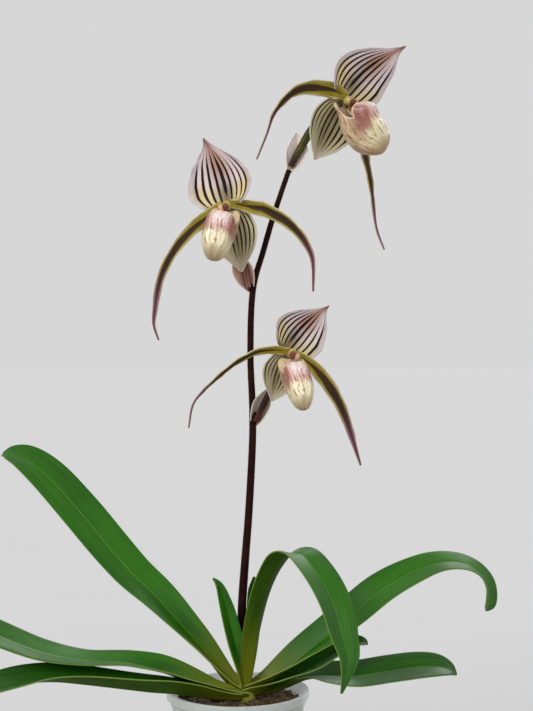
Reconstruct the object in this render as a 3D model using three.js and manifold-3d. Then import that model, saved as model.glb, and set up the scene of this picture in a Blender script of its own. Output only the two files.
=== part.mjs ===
// A slipper orchid in a plastic nursery pot: a fan of strap leaves on a short shoot, one dark
// flower stem, and three flowers with pouch-shaped lips.
// Millimetres, +Z up. The origin is the middle of the pot's flat underside, -Y is the front.

import * as THREE from 'three';
import { mergeVertices } from 'three/addons/utils/BufferGeometryUtils.js';
import Module from 'manifold-3d';

const wasm = await Module();
wasm.setup();

const MERGE_DISTANCE = 1e-4;

// Driving dimensions of the pot and its filling
const POT_HEIGHT = 110;
const POT_RIM_RADIUS = 60;
const POT_FOOT_RADIUS = 44;
const POT_WALL = 1.2;
const POT_FLOOR = 2;
const POT_SIDES = 32;
const RIM_HEIGHT = 7;
const RIM_LIP = 2.6;
const RIM_ROUND = 1.2;
const RIM_BEADS = 2;
const RIM_BEAD = 0.8;
const RIM_BEAD_PITCH = 2.4;
const DRAIN_HOLES = 6;
const DRAIN_RADIUS = 4;
const DRAIN_CIRCLE = 30;
const DRAIN_SIDES = 10;

// Driving dimensions of the growing medium and the shoot with its roots
const GAP = 0.3;
const MEDIUM_CLEARANCE = 0.5;
const MEDIUM_TOP = 99;
const MEDIUM_SHOULDER = 4;
const MEDIUM_BUMP = 1.4;
const MEDIUM_SIDES = 20;
const MEDIUM_RINGS = [54, 43, 33, 23, 14];
const LUMP_REACH = [3.1, 2.7, 1.9];
const LUMP_SHIFT = 0.6;
const LUMP_CROSSING = 0.5;
const CROWN_CENTRE = new THREE.Vector3(5, 1, 101);
const CROWN_RADII = new THREE.Vector3(10, 8, 13);
const CROWN_SIDES = 12;
const CROWN_RINGS = 8;
const ROOT_RADIUS = 2.6;
const ROOT_SIDES = 6;
const ROOT_STEPS = 6;
const ROOT_COUNT = 4;
const ROOT_BEARING = 0.4;
const ROOT_TURN = 60;
const ROOT_PATH = [[1, 96], [7, 88], [18, 76], [28, 60], [33, 42], [30, 24]];

// Driving dimensions of the leaves, the stem and the flowers
const EDGE_THINNING = 0.35;
const NARROWEST_HALF = 0.5;
const WAVE_SHIFT = 1.3;
const FULL_WAVE_HALF = 8;
const LEAF_THICKNESS = 1.6;
const LEAF_STEPS = 16;
const LEAF_ACROSS = 4;
const LEAF_WAVE = 0.8;
const LEAF_WAVES = 1.5;
const STEM_SIDES = 8;
const OVARY_STEPS = 8;
const PETAL_THICKNESS = 0.9;
const PETAL_STEPS = 16;
const PETAL_ACROSS = 4;
const SEPAL_THICKNESS = 0.9;
const DORSAL_STEPS = 11;
const DORSAL_ACROSS = 8;
const DORSAL_BACK = 3;
const VENTRAL_STEPS = 9;
const VENTRAL_ACROSS = 6;
const VENTRAL_BACK = 6;
const LIP_WALL = 1.1;
const LIP_SIDES = 12;
const LIP_RINGS = 8;
const LIP_RING_CROWDING = 1.25;
const LIP_MOUTH_SWELL = 0.98;
const LIP_CREST = 5;
const LIP_NARROWING = 0.5;
const LIP_TOE_START = 0.45;
const LIP_TOE_ROUND = 2.3;
const LIP_BELLY = 3;
const COLUMN_SIDES = 8;
const COLUMN_RINGS = 6;
const COLUMN_RADII = [4.2, 4.2, 6];
const SHIELD_RADII = [4.8, 4.6, 2.2];
const SHIELD_FORWARD = 7;
const SHIELD_DROP = 1.5;
const BRACT_THICKNESS = 0.8;
const BRACT_STEPS = 6;
const BRACT_ACROSS = 4;
const BRACT_CUP = 0.5;

// Finishes
const FINISHES = {
  pot: { color: 0x8e9691, roughness: 0.4 },
  medium: { color: 0x4a3a26, roughness: 0.95 },
  shoot: { color: 0x8f9a3a, roughness: 0.5 },
  leaf: { color: 0x2c6a1e, roughness: 0.35 },
  stem: { color: 0x2c0f12, roughness: 0.7 },
  dorsal_sepal: { color: 0xe3d3cf, roughness: 0.6 },
  ventral_sepal: { color: 0xcfcab0, roughness: 0.6 },
  petal: { color: 0x94843c, roughness: 0.6 },
  lip: { color: 0xb98a80, roughness: 0.4 },
  column: { color: 0xd9cda0, roughness: 0.5 },
  ovary: { color: 0x3a1a18, roughness: 0.7 },
  bract: { color: 0xcfae9c, roughness: 0.6 },
};

const vector = ([x, y, z]) => new THREE.Vector3(x, y, z);

const rejectFrom = (direction, axis) =>
  direction.clone().addScaledVector(axis, -direction.dot(axis)).normalize();

// Solids from closed meshes, and back

function solidOf(geometry) {
  const bare = geometry.clone();
  bare.deleteAttribute('normal');
  bare.deleteAttribute('uv');
  const merged = mergeVertices(bare, MERGE_DISTANCE);
  const vertProperties = new Float32Array(merged.attributes.position.array);
  const corners = merged.index.array;
  const kept = [];
  for (let i = 0; i < corners.length; i += 3) {
    const [a, b, c] = corners.slice(i, i + 3);
    if (a !== b && b !== c && c !== a) {
      kept.push(a, b, c);
    }
  }
  const triVerts = new Uint32Array(kept);
  return new wasm.Manifold(new wasm.Mesh({ numProp: 3, vertProperties, triVerts }));
}

function largestPiece(solid) {
  const pieces = solid.decompose();
  return pieces.reduce((best, piece) => (piece.volume() > best.volume() ? piece : best));
}

function geometryOf(solid) {
  const mesh = solid.getMesh();
  const geometry = new THREE.BufferGeometry();
  geometry.setAttribute('position', new THREE.BufferAttribute(mesh.vertProperties, 3));
  geometry.setIndex(new THREE.BufferAttribute(mesh.triVerts, 1));
  return geometry;
}

// The skin between rings of points that each close on themselves
function gridGeometry(rows) {
  const positions = rows.flat().flatMap((point) => [point.x, point.y, point.z]);
  const count = rows[0].length;
  const faces = [];
  for (let row = 0; row + 1 < rows.length; row += 1) {
    for (let column = 0; column < count; column += 1) {
      const next = (column + 1) % count;
      const a = row * count + column;
      const b = row * count + next;
      const c = (row + 1) * count + next;
      const d = (row + 1) * count + column;
      faces.push(a, b, c, a, c, d);
    }
  }
  const geometry = new THREE.BufferGeometry();
  geometry.setAttribute('position', new THREE.Float32BufferAttribute(positions, 3));
  geometry.setIndex(faces);
  return geometry;
}

// Blades: a leaf, petal or sepal is a thin sheet along a curved midrib. Each station holds the
// midrib's place, the half width, the roll about the midrib and the lift of the two halves.

const sideFromAzimuth = (degrees) => {
  const angle = THREE.MathUtils.degToRad(degrees);
  const side = new THREE.Vector3(Math.sin(angle), -Math.cos(angle), 0);
  return (tangent) => rejectFrom(side, tangent);
};

const sideFromFacing = (facing) => (tangent) =>
  new THREE.Vector3().crossVectors(tangent, facing).normalize();

const splineThrough = (points) => new THREE.CatmullRomCurve3(points, false, 'catmullrom', 0.5);

class Blade {
  constructor({ stations, sideOf, thickness, steps, across, cup = 0, wave = 0, waves = 0 }) {
    this.midrib = splineThrough(stations.map((row) => vector(row)));
    this.shape = splineThrough(stations.map((row) => vector(row.slice(3))));
    Object.assign(this, { sideOf, thickness, steps, across, cup, wave, waves });
  }

  point(along, across, grow = 0) {
    const centre = this.midrib.getPoint(along);
    const tangent = this.midrib.getTangent(along);
    const { x: half, y: roll, z: fold } = this.shape.getPoint(along);
    const side = this.sideOf(tangent);
    side.applyAxisAngle(tangent, THREE.MathUtils.degToRad(-roll));
    const normal = new THREE.Vector3().crossVectors(side, tangent);
    const angle = THREE.MathUtils.degToRad(fold);
    const reach = Math.max(half, NARROWEST_HALF) + grow;
    const rise = THREE.MathUtils.lerp(Math.abs(across), across * across, this.cup);
    const phase = 2 * Math.PI * this.waves * along + WAVE_SHIFT * Math.sign(across);
    const ripple = this.wave * Math.sin(phase) * Math.min(1, half / FULL_WAVE_HALF);
    const lift = reach * Math.sin(angle) * rise + ripple * across * across;
    return centre
      .addScaledVector(side, reach * Math.cos(angle) * across)
      .addScaledVector(normal, lift);
  }

  normal(along, across, grow) {
    const step = 1e-3;
    const before = this.point(Math.max(along - step, 0), across, grow);
    const after = this.point(Math.min(along + step, 1), across, grow);
    const left = this.point(along, Math.max(across - step, -1), grow);
    const right = this.point(along, Math.min(across + step, 1), grow);
    return new THREE.Vector3().crossVectors(right.sub(left), after.sub(before)).normalize();
  }

  solid(grow = 0) {
    const rows = [];
    for (let i = 0; i <= this.steps; i += 1) {
      const along = i / this.steps;
      const top = [];
      const bottom = [];
      for (let j = 0; j <= this.across; j += 1) {
        const across = (2 * j) / this.across - 1;
        const thin = 1 - EDGE_THINNING * across * across;
        const offset = (this.thickness * thin) / 2 + grow;
        const middle = this.point(along, across, grow);
        const normal = this.normal(along, across, grow);
        top.push(middle.clone().addScaledVector(normal, offset));
        bottom.push(middle.clone().addScaledVector(normal, -offset));
      }
      rows.push([...top, ...bottom.reverse()]);
    }
    return closedTube(rows);
  }
}

// A closed tube of rings: the two end rings are filled by strips that pair the ring's two halves
function closedTube(rows) {
  const geometry = gridGeometry(rows);
  const count = rows[0].length;
  const faces = Array.from(geometry.index.array);
  const lastRow = (rows.length - 1) * count;
  for (let j = 0; j + 1 < count / 2; j += 1) {
    const opposite = count - 1 - j;
    faces.push(j, opposite, opposite - 1, j, opposite - 1, j + 1);
    faces.push(lastRow + j, lastRow + opposite - 1, lastRow + opposite);
    faces.push(lastRow + j, lastRow + j + 1, lastRow + opposite - 1);
  }
  geometry.setIndex(faces);
  return solidOf(geometry);
}

// A ball of rings: a closed skin from one pole, through rings of points, to the other pole
function ballOfRings(firstPole, rings, lastPole) {
  const geometry = gridGeometry(rings);
  const positions = Array.from(geometry.attributes.position.array);
  const faces = Array.from(geometry.index.array);
  const count = rings[0].length;
  const first = positions.length / 3;
  const lastRow = (rings.length - 1) * count;
  positions.push(...firstPole.toArray(), ...lastPole.toArray());
  for (let column = 0; column < count; column += 1) {
    const next = (column + 1) % count;
    faces.push(first, next, column);
    faces.push(first + 1, lastRow + column, lastRow + next);
  }
  geometry.setAttribute('position', new THREE.Float32BufferAttribute(positions, 3));
  geometry.setIndex(faces);
  return solidOf(geometry);
}

// A round stalk along a curve, each station holding a place and a radius
function stalk({ stations, sides = STEM_SIDES, steps, sideOf = sideFromAzimuth(0) }, grow = 0) {
  const path = splineThrough(stations.map((row) => vector(row)));
  const radii = splineThrough(stations.map((row) => new THREE.Vector3(row[3], 0, 0)));
  const rows = [];
  for (let i = 0; i <= steps; i += 1) {
    const along = i / steps;
    const centre = path.getPoint(along);
    const tangent = path.getTangent(along);
    const side = sideOf(tangent);
    const normal = new THREE.Vector3().crossVectors(side, tangent);
    const radius = radii.getPoint(along).x + grow;
    const ring = [];
    for (let k = 0; k < sides; k += 1) {
      const angle = ((k + 0.5) * 2 * Math.PI) / sides;
      ring.push(
        centre.clone()
          .addScaledVector(side, -radius * Math.cos(angle))
          .addScaledVector(normal, radius * Math.sin(angle)),
      );
    }
    rows.push(ring);
  }
  return closedTube(rows);
}

const cutAway = (solid, cutters) =>
  largestPiece(cutters.reduce((rest, cutter) => rest.subtract(cutter), solid));

// The pot: a tapered thin wall with a rolled rim, beads below it and drain holes in its floor

const wallRadius = (height) =>
  THREE.MathUtils.mapLinear(height, 0, POT_HEIGHT, POT_FOOT_RADIUS, POT_RIM_RADIUS - RIM_LIP);

function potSolid() {
  const beads = [];
  for (let k = RIM_BEADS; k > 0; k -= 1) {
    const height = POT_HEIGHT - RIM_HEIGHT - k * RIM_BEAD_PITCH;
    beads.push([wallRadius(height) + RIM_BEAD, height]);
    beads.push([wallRadius(height), height + RIM_BEAD_PITCH / 2]);
  }
  const top = POT_HEIGHT;
  const outer = [
    [0, 0],
    [POT_FOOT_RADIUS - POT_FLOOR, 0],
    [POT_FOOT_RADIUS, POT_FLOOR],
    ...beads,
    [POT_RIM_RADIUS - RIM_ROUND, top - RIM_HEIGHT],
    [POT_RIM_RADIUS, top - RIM_HEIGHT + RIM_ROUND],
    [POT_RIM_RADIUS, top - RIM_ROUND],
    [POT_RIM_RADIUS - RIM_ROUND, top],
    [POT_RIM_RADIUS - RIM_LIP - POT_WALL, top],
    [wallRadius(top - RIM_HEIGHT) - POT_WALL, top - RIM_HEIGHT],
    [wallRadius(POT_FLOOR) - POT_WALL, POT_FLOOR],
    [0, POT_FLOOR],
  ];
  const profile = outer.map(([radius, height]) => new THREE.Vector2(radius, height));
  const lathe = new THREE.LatheGeometry(profile, POT_SIDES);
  lathe.rotateX(Math.PI / 2);
  const holes = [];
  for (let k = 0; k < DRAIN_HOLES; k += 1) {
    const angle = (2 * Math.PI * k) / DRAIN_HOLES;
    const hole = new THREE.CylinderGeometry(DRAIN_RADIUS, DRAIN_RADIUS, 4 * POT_FLOOR, DRAIN_SIDES);
    hole.rotateX(Math.PI / 2);
    hole.translate(DRAIN_CIRCLE * Math.cos(angle), DRAIN_CIRCLE * Math.sin(angle), POT_FLOOR / 2);
    holes.push(solidOf(hole));
  }
  return cutAway(solidOf(lathe), holes);
}

// The short shoot with its roots, all one body
function shootSolid(grow = 0) {
  const ball = new THREE.SphereGeometry(1, CROWN_SIDES, CROWN_RINGS);
  const radii = CROWN_RADII.clone().addScalar(grow);
  ball.rotateX(Math.PI / 2);
  ball.scale(radii.x, radii.y, radii.z);
  ball.translate(...CROWN_CENTRE.toArray());
  let solid = solidOf(ball);
  for (let k = 0; k < ROOT_COUNT; k += 1) {
    const bearing = (2 * Math.PI * k) / ROOT_COUNT + ROOT_BEARING;
    const stations = ROOT_PATH.map(([reach, height]) => [
      CROWN_CENTRE.x + reach * Math.cos(bearing + reach / ROOT_TURN),
      CROWN_CENTRE.y + reach * Math.sin(bearing + reach / ROOT_TURN),
      height,
      ROOT_RADIUS,
    ]);
    solid = solid.add(stalk({ stations, sides: ROOT_SIDES, steps: ROOT_STEPS }, grow));
  }
  return solid;
}

// The growing medium: it fills the pot, with a lumpy top
function mediumSolid() {
  const ringAt = (radius, height, bump) => {
    const ring = [];
    for (let k = 0; k < MEDIUM_SIDES; k += 1) {
      const angle = (2 * Math.PI * k) / MEDIUM_SIDES;
      const x = radius * Math.cos(angle);
      const y = radius * Math.sin(angle);
      const [reachX, reachY, reachAcross] = LUMP_REACH;
      const crossing = LUMP_CROSSING * Math.sin((x - y) / reachAcross);
      const lump = Math.sin(x / reachX + LUMP_SHIFT) * Math.cos(y / reachY) + crossing;
      ring.push(new THREE.Vector3(x, y, height + bump * lump));
    }
    return ring;
  };
  const floor = POT_FLOOR + GAP;
  const shoulder = MEDIUM_TOP - MEDIUM_SHOULDER;
  const inner = (height) => wallRadius(height) - POT_WALL - MEDIUM_CLEARANCE;
  const rings = [
    ringAt(inner(floor), floor, 0),
    ringAt(inner(shoulder), shoulder, 0),
    ...MEDIUM_RINGS.map((radius) => ringAt(radius, MEDIUM_TOP, MEDIUM_BUMP)),
  ];
  const bottom = new THREE.Vector3(0, 0, floor);
  const top = new THREE.Vector3(0, 0, MEDIUM_TOP);
  return cutAway(ballOfRings(bottom, rings, top), [shootSolid(GAP)]);
}

// The flower stem: nearly upright to the second flower, then leaning right to the top flower
const STEM = {
  steps: 22,
  stations: [
    [3, 7, 108, 3.6],
    [3, 5, 170, 3.6],
    [6, 3, 218, 3.4],
    [9.5, 2, 265, 3.2],
    [12.5, 1, 332, 3],
    [10.5, 0, 392, 2.7],
    [12.5, 0, 446, 2.6],
    [21.5, 0, 480, 2.4],
    [30.5, 0, 511, 2.3],
    [43, 0, 548, 2.1],
  ],
};

// The leaves, innermost first. A station is a midrib point, the half width, the roll in degrees
// and the fold of the two halves in degrees.
const LEAVES = [
  {
    name: 'leaf_inner_left',
    azimuth: 180,
    stations: [
      [3, -3, 112, 5, 40, 50],
      [1.5, -4, 127, 7.5, 56, 42],
      [-2.5, -4, 147, 9, 66, 34],
      [-7.5, -4, 168, 8, 64, 28],
      [-12, -4, 185, 6, 58, 22],
      [-16, -4, 197, 4, 50, 20],
      [-21, -5, 204, 0.8, 40, 20],
    ],
  },
  {
    name: 'leaf_inner_right',
    azimuth: -50,
    stations: [
      [9, -4, 112, 6, 0, 60],
      [12, -6, 125, 9, 0, 50],
      [14, -9, 145, 11, 0, 42],
      [17, -12, 166, 12, 0, 35],
      [22, -16, 190, 13, 0, 28],
      [29, -22, 210, 14, 0, 22],
      [39, -32, 226, 16, 0, 16],
      [51, -43, 229, 18, 0, 12],
      [62, -53, 219, 19, 0, 12],
      [72, -62, 204, 19, 0, 12],
      [79, -70, 188, 18, 0, 12],
      [83, -77, 172, 15.5, 0, 12],
      [87, -83, 156, 11, 0, 14],
      [85, -88, 141, 5, 0, 16],
      [82, -91, 129, 0.8, 0, 16],
    ],
  },
  {
    name: 'leaf_small_back',
    azimuth: 0,
    stations: [
      [9, 7, 110, 5, -60, 50],
      [10, 11, 125, 7, -65, 40],
      [12, 13, 150, 8, -70, 30],
      [14, 14, 175, 7.5, -70, 20],
      [13.5, 15, 190, 5.5, -70, 20],
      [13.5, 15, 202, 0.8, -70, 20],
    ],
  },
  {
    name: 'leaf_upper_left',
    azimuth: 158,
    stations: [
      [7, -1, 105, 7, 0, 62],
      [-3, 1, 109, 9.5, 8, 60],
      [-14, 4, 119, 12, 16, 54],
      [-32, 8, 142, 15, 30, 45],
      [-51, 12, 163, 16.5, 34, 34],
      [-71, 17, 184, 18, 34, 22],
      [-92, 23, 203, 19, 34, 14],
      [-115, 30, 227, 19.5, 34, 12],
      [-139, 38, 254, 19.5, 34, 10],
      [-167, 46, 283, 18.5, 34, 10],
      [-188, 52, 299, 16, 32, 10],
      [-203, 56, 304, 11, 30, 10],
      [-211, 58, 303, 3, 30, 10],
    ],
  },
  {
    name: 'leaf_upper_right',
    azimuth: 15,
    stations: [
      [2, -1, 105, 7, 0, 62],
      [13, 0, 108, 9.5, -4, 58],
      [26, 2, 114, 12, -10, 50],
      [41, 4, 124, 15, -18, 44],
      [57, 6, 137, 16.5, -22, 34],
      [79, 10, 154, 18, -26, 22],
      [102, 14, 173, 18.5, -28, 14],
      [124, 18, 190, 18.5, -28, 12],
      [148, 22, 203, 18, -26, 10],
      [171, 25, 211, 17.5, -22, 10],
      [192, 27, 211, 17, -22, 10],
      [207, 29, 204, 15.5, -28, 12],
      [215, 30, 193, 14, -38, 14],
      [217, 30, 182, 12, -46, 14],
      [216, 29, 174, 9, -48, 14],
      [214.5, 29, 169.5, 0.8, -48, 14],
    ],
  },
  {
    name: 'leaf_lower_left',
    azimuth: 190,
    stations: [
      [9, -5, 103, 7, 0, 62],
      [-4, -6, 104.5, 9, 4, 58],
      [-20, -9, 108.5, 12, 10, 52],
      [-40, -14, 118, 15, 20, 42],
      [-60, -19, 128, 16, 22, 32],
      [-80, -24, 134, 16.5, 16, 24],
      [-97, -28, 138, 17, 10, 18],
      [-126, -34, 141, 18, 8, 12],
      [-159, -40, 149, 18.5, 14, 10],
      [-192, -45, 163, 18.5, 20, 10],
      [-224, -49, 177, 17, 26, 10],
      [-252, -52, 184, 12, 26, 10],
      [-272, -54, 185, 6, 26, 10],
      [-282, -55, 183, 0.8, 26, 10],
    ],
  },
  {
    name: 'leaf_middle_right',
    azimuth: 12,
    stations: [
      [4, -2, 103, 7, 0, 60],
      [16, 0, 105, 10, -2, 54],
      [29, 3, 109, 12, -6, 48],
      [44, 4, 115, 14, -10, 42],
      [65, 8, 126, 16, -20, 30],
      [86, 12, 138, 12, -20, 24],
      [99, 14, 144, 9.5, -20, 20],
      [107, 15, 145, 6.5, -20, 20],
      [111, 15, 144, 0.8, -20, 20],
    ],
  },
  {
    name: 'leaf_lower_right',
    azimuth: 5,
    stations: [
      [12, 4, 103, 6, 0, 60],
      [27, 6, 104.5, 10, 0, 50],
      [43, 10, 109, 13, 0, 38],
      [58, 17, 113.5, 15, -6, 26],
      [74, 21, 114.5, 17, -18, 18],
      [100, 22, 114, 18, -26, 14],
      [128, 20, 119, 18.5, -28, 12],
      [153, 18, 123, 18, -28, 10],
      [170, 16, 124, 15, -28, 10],
      [180, 15, 122, 10, -26, 10],
      [187, 14, 118, 0.8, -28, 10],
    ],
  },
  {
    name: 'leaf_front_left',
    azimuth: 195,
    stations: [
      [4, -8, 103, 7, 0, 60],
      [-8, -10, 103.5, 9, 0, 58],
      [-20, -15, 105.5, 11, 0, 55],
      [-35, -21, 109, 14, 0, 50],
      [-53, -28, 113, 16, 0, 46],
      [-70, -33, 115.5, 17, 0, 46],
      [-89, -38, 119, 17, 2, 45],
      [-124, -45, 125, 17, 5, 42],
      [-150, -50, 128.5, 17, 10, 35],
      [-175, -54, 128, 16, 20, 25],
      [-195, -57, 125, 14, 25, 20],
      [-215, -60, 120, 10, 25, 16],
      [-232, -62, 114, 0.8, 25, 14],
    ],
  },
];

const leafBlade = ({ azimuth, stations }) =>
  new Blade({
    stations,
    sideOf: sideFromAzimuth(azimuth),
    thickness: LEAF_THICKNESS,
    steps: LEAF_STEPS,
    across: LEAF_ACROSS,
    wave: LEAF_WAVE,
    waves: LEAF_WAVES,
  });

// The flowers. Each organ has its own direction; petals are lists of points from the centre.
// A sepal is cupped across by cup degrees, its tip leans forward by hood, its middle lies back
// by bow and its base stands aside by shift. A lip's front faces front, and the back of its rim
// rises to the place attach.
const FLOWERS = [
  {
    name: 'left_flower',
    centre: [-9, -25, 515],
    facing: [-0.42, -0.88, -0.2],
    dorsal: {
      along: [-0.23, -0.03, 0.97],
      facing: [-0.5, -0.85, -0.13],
      length: 57, half: 33, cup: 16, hood: 13, bow: 4,
    },
    ventral: {
      along: [0.2, 0.14, -0.97],
      facing: [-0.2, -0.96, -0.2],
      length: 56, half: 21, cup: 18, hood: 6, bow: 2,
    },
    lip: {
      mouth: [-3.6, -13, -18.8],
      along: [-0.21, -0.5, -0.84],
      front: [-0.42, -0.88, -0.2],
      attach: [-0.5, 1, -5],
      length: 33, half: 13.9, depth: 15,
    },
    petals: {
      left: [
        [-3, -1, 1, 3.5, 0, 0],
        [-16.6, 2, -10, 6, 0, 6],
        [-29.4, 5, -20, 5.4, 0, 6],
        [-41, 8, -33, 4.6, 0, 6],
        [-51, 11, -49, 4, 0, 6],
        [-57, 13, -66, 3.5, 0, 6],
        [-60, 14, -85, 2.6, 0, 6],
        [-61, 14, -98, 1.4, 0, 6],
        [-57, 13, -111, 0.8, 0, 6],
      ],
      right: [
        [3, -2, 1.5, 3.5, 0, 0],
        [12.7, -5, 0, 4.5, 0, 6],
        [24, -8, -2.5, 6, 0, 6],
        [33, -11, -5, 6, 0, 6],
        [48.7, -15, -14, 5, 0, 6],
        [60, -18, -25, 4, 0, 6],
        [68, -20, -38, 3, 0, 6],
        [71, -20, -50, 1.8, 0, 6],
        [71, -19, -72, 0.8, 0, 6],
      ],
    },
    bract: [
      [11, 2, 446, 4, 0, 50],
      [7, 1, 455, 11, 0, 48],
      [3, -1, 465, 12, 0, 42],
      [-1, -4, 474, 6, 0, 40],
      [-3, -5, 478, 0.8, 0, 40],
    ],
    ovary: [
      [9, -2, 449, 2.3],
      [6, -6, 464, 2.8],
      [0, -9, 481, 3.3],
      [-3.5, -12, 497, 3.2],
      [-6, -16.5, 509.5, 2.6],
    ],
  },
  {
    name: 'lower_flower',
    centre: [45, -25, 393],
    facing: [0.42, -0.88, -0.2],
    dorsal: {
      along: [0.53, -0.05, 0.845],
      facing: [0.4, -0.85, -0.3],
      length: 50, half: 27, cup: 14, hood: 12, bow: 6, shift: 6,
    },
    ventral: {
      along: [-0.36, 0.06, -0.93],
      facing: [0.3, -0.93, -0.2],
      length: 43, half: 19, cup: 18, hood: 5, bow: 2,
    },
    lip: {
      mouth: [2.6, -12, -18.4],
      along: [0.21, -0.6, -0.78],
      front: [0.42, -0.88, -0.2],
      attach: [-1.5, 1, -5],
      length: 34, half: 12.2, depth: 12.5,
    },
    petals: {
      left: [
        [-3, -2, 1.5, 3.2, 20, 0],
        [-14.8, -5, 3, 4, 30, 6],
        [-28, -8, 1.6, 3.4, 45, 6],
        [-38.5, -10, -3, 3.2, 55, 6],
        [-51, -12, -11, 3, 60, 6],
        [-62, -13, -20.5, 2.4, 65, 6],
        [-72, -14, -30, 1.8, 65, 6],
        [-81, -14, -42, 1.2, 65, 6],
        [-84.5, -13, -61, 0.8, 65, 6],
      ],
      right: [
        [3, -1, 0.5, 3.2, 0, 0],
        [15.6, 3, -9, 5, 0, 6],
        [24, 5, -18, 6, 0, 6],
        [33, 7, -30, 5.8, 0, 6],
        [42.6, 10, -48, 4.6, 0, 6],
        [49, 12, -65.6, 3.4, 0, 6],
        [53.5, 12, -80, 2, 0, 6],
        [57.7, 11, -93.5, 0.8, 0, 6],
      ],
    },
    bract: [
      [13, 3, 332, 4, 0, 50],
      [17, 2, 342, 9.5, 0, 48],
      [21, 0, 352, 10, 0, 42],
      [25, -2, 360, 5, 0, 40],
      [27, -2, 364, 0.8, 0, 36],
    ],
    ovary: [
      [15, -3, 336, 2.3],
      [21, -7, 349, 2.7],
      [29, -10, 364, 3],
      [36.5, -12, 378, 3],
      [41.5, -16.5, 388.5, 2.5],
    ],
  },
  {
    name: 'top_flower',
    centre: [92, -20, 602.5],
    facing: [0.7, -0.62, -0.35],
    dorsal: {
      along: [0.64, -0.1, 0.765],
      facing: [0.45, -0.8, -0.4],
      length: 63, half: 29, cup: 10, hood: 18, bow: 8, shift: 4,
    },
    ventral: {
      along: [-0.46, 0.02, -0.89],
      facing: [0.45, -0.86, -0.25],
      length: 56, half: 23, cup: 16, hood: 4, bow: 2,
    },
    lip: {
      mouth: [2.6, -9, -21.5],
      along: [0.73, -0.28, -0.62],
      front: [0.62, -0.45, 0.6],
      attach: [-4.5, -2, -4],
      length: 36, half: 14, depth: 17.5,
    },
    petals: {
      left: [
        [-2, -2, 3, 3.5, 0, 0],
        [-11.6, -7, 7, 6.8, 0, 6],
        [-28, -14, 8.3, 6.6, 0, 6],
        [-39.8, -19, 6.2, 5.2, 0, 6],
        [-49, -22, 0.8, 4.2, 0, 6],
        [-57.3, -25, -8.3, 3, 0, 6],
        [-63, -27, -17.4, 2, 0, 6],
        [-68, -28, -33, 1.1, 0, 6],
        [-76, -29, -53, 0.8, 0, 6],
      ],
      right: [
        [2, 2, -2, 3.5, 0, 0],
        [6, 10, -14, 5.5, 0, 6],
        [11, 15, -29, 5.5, 0, 6],
        [15.5, 18, -45, 5, 0, 6],
        [19.6, 19, -65, 3.6, 0, 6],
        [22, 20, -83, 2.4, 0, 6],
        [25, 20, -104, 1.4, 0, 6],
        [31.5, 19, -122, 0.8, 0, 6],
      ],
    },
    bract: [
      [43, 2, 546, 3, 0, 45],
      [47, 3, 555, 9.5, 0, 38],
      [50, 3, 565, 11, 0, 32],
      [50, 2.5, 574, 6.5, 0, 32],
      [49.5, 2, 580, 0.8, 0, 32],
    ],
    ovary: [
      [44.5, -0.5, 551, 2.2],
      [51, -2, 563, 3],
      [63, -6, 582, 3.6],
      [78, -11, 596, 3.4],
      [87, -14, 601, 2.6],
    ],
  },
];

// Sepal outlines: share of the length, half width as a share of the widest
const DORSAL_OUTLINE = [
  [-0.03, 0.45], [0.04, 0.72], [0.14, 0.91], [0.27, 1], [0.42, 0.96],
  [0.56, 0.84], [0.69, 0.65], [0.79, 0.42], [0.86, 0.23], [0.93, 0.1], [1, 0.03],
];
const VENTRAL_OUTLINE = [
  [-0.02, 0.3], [0.08, 0.6], [0.2, 0.85], [0.36, 1], [0.54, 0.95],
  [0.71, 0.74], [0.84, 0.44], [0.93, 0.19], [1, 0.04],
];

function sepalBlade(flower, sepal, outline, { back, steps, across }) {
  const { along, facing, length, half, cup, hood, bow, shift = 0 } = sepal;
  const axis = vector(along).normalize();
  const front = rejectFrom(vector(facing), axis);
  const aside = new THREE.Vector3().crossVectors(front, axis);
  const root = vector(flower.centre).addScaledVector(vector(flower.facing).normalize(), -back);
  const stations = outline.map(([share, width]) => {
    const lift = hood * share * share - bow * Math.sin(Math.PI * Math.max(share, 0));
    const place = root.clone()
      .addScaledVector(axis, share * length)
      .addScaledVector(front, lift)
      .addScaledVector(aside, shift * (1 - share) ** 2);
    return [...place.toArray(), width * half, 0, cup];
  });
  return new Blade({
    stations,
    sideOf: sideFromFacing(front),
    thickness: SEPAL_THICKNESS,
    steps,
    across,
    cup: 1,
  });
}

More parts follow.
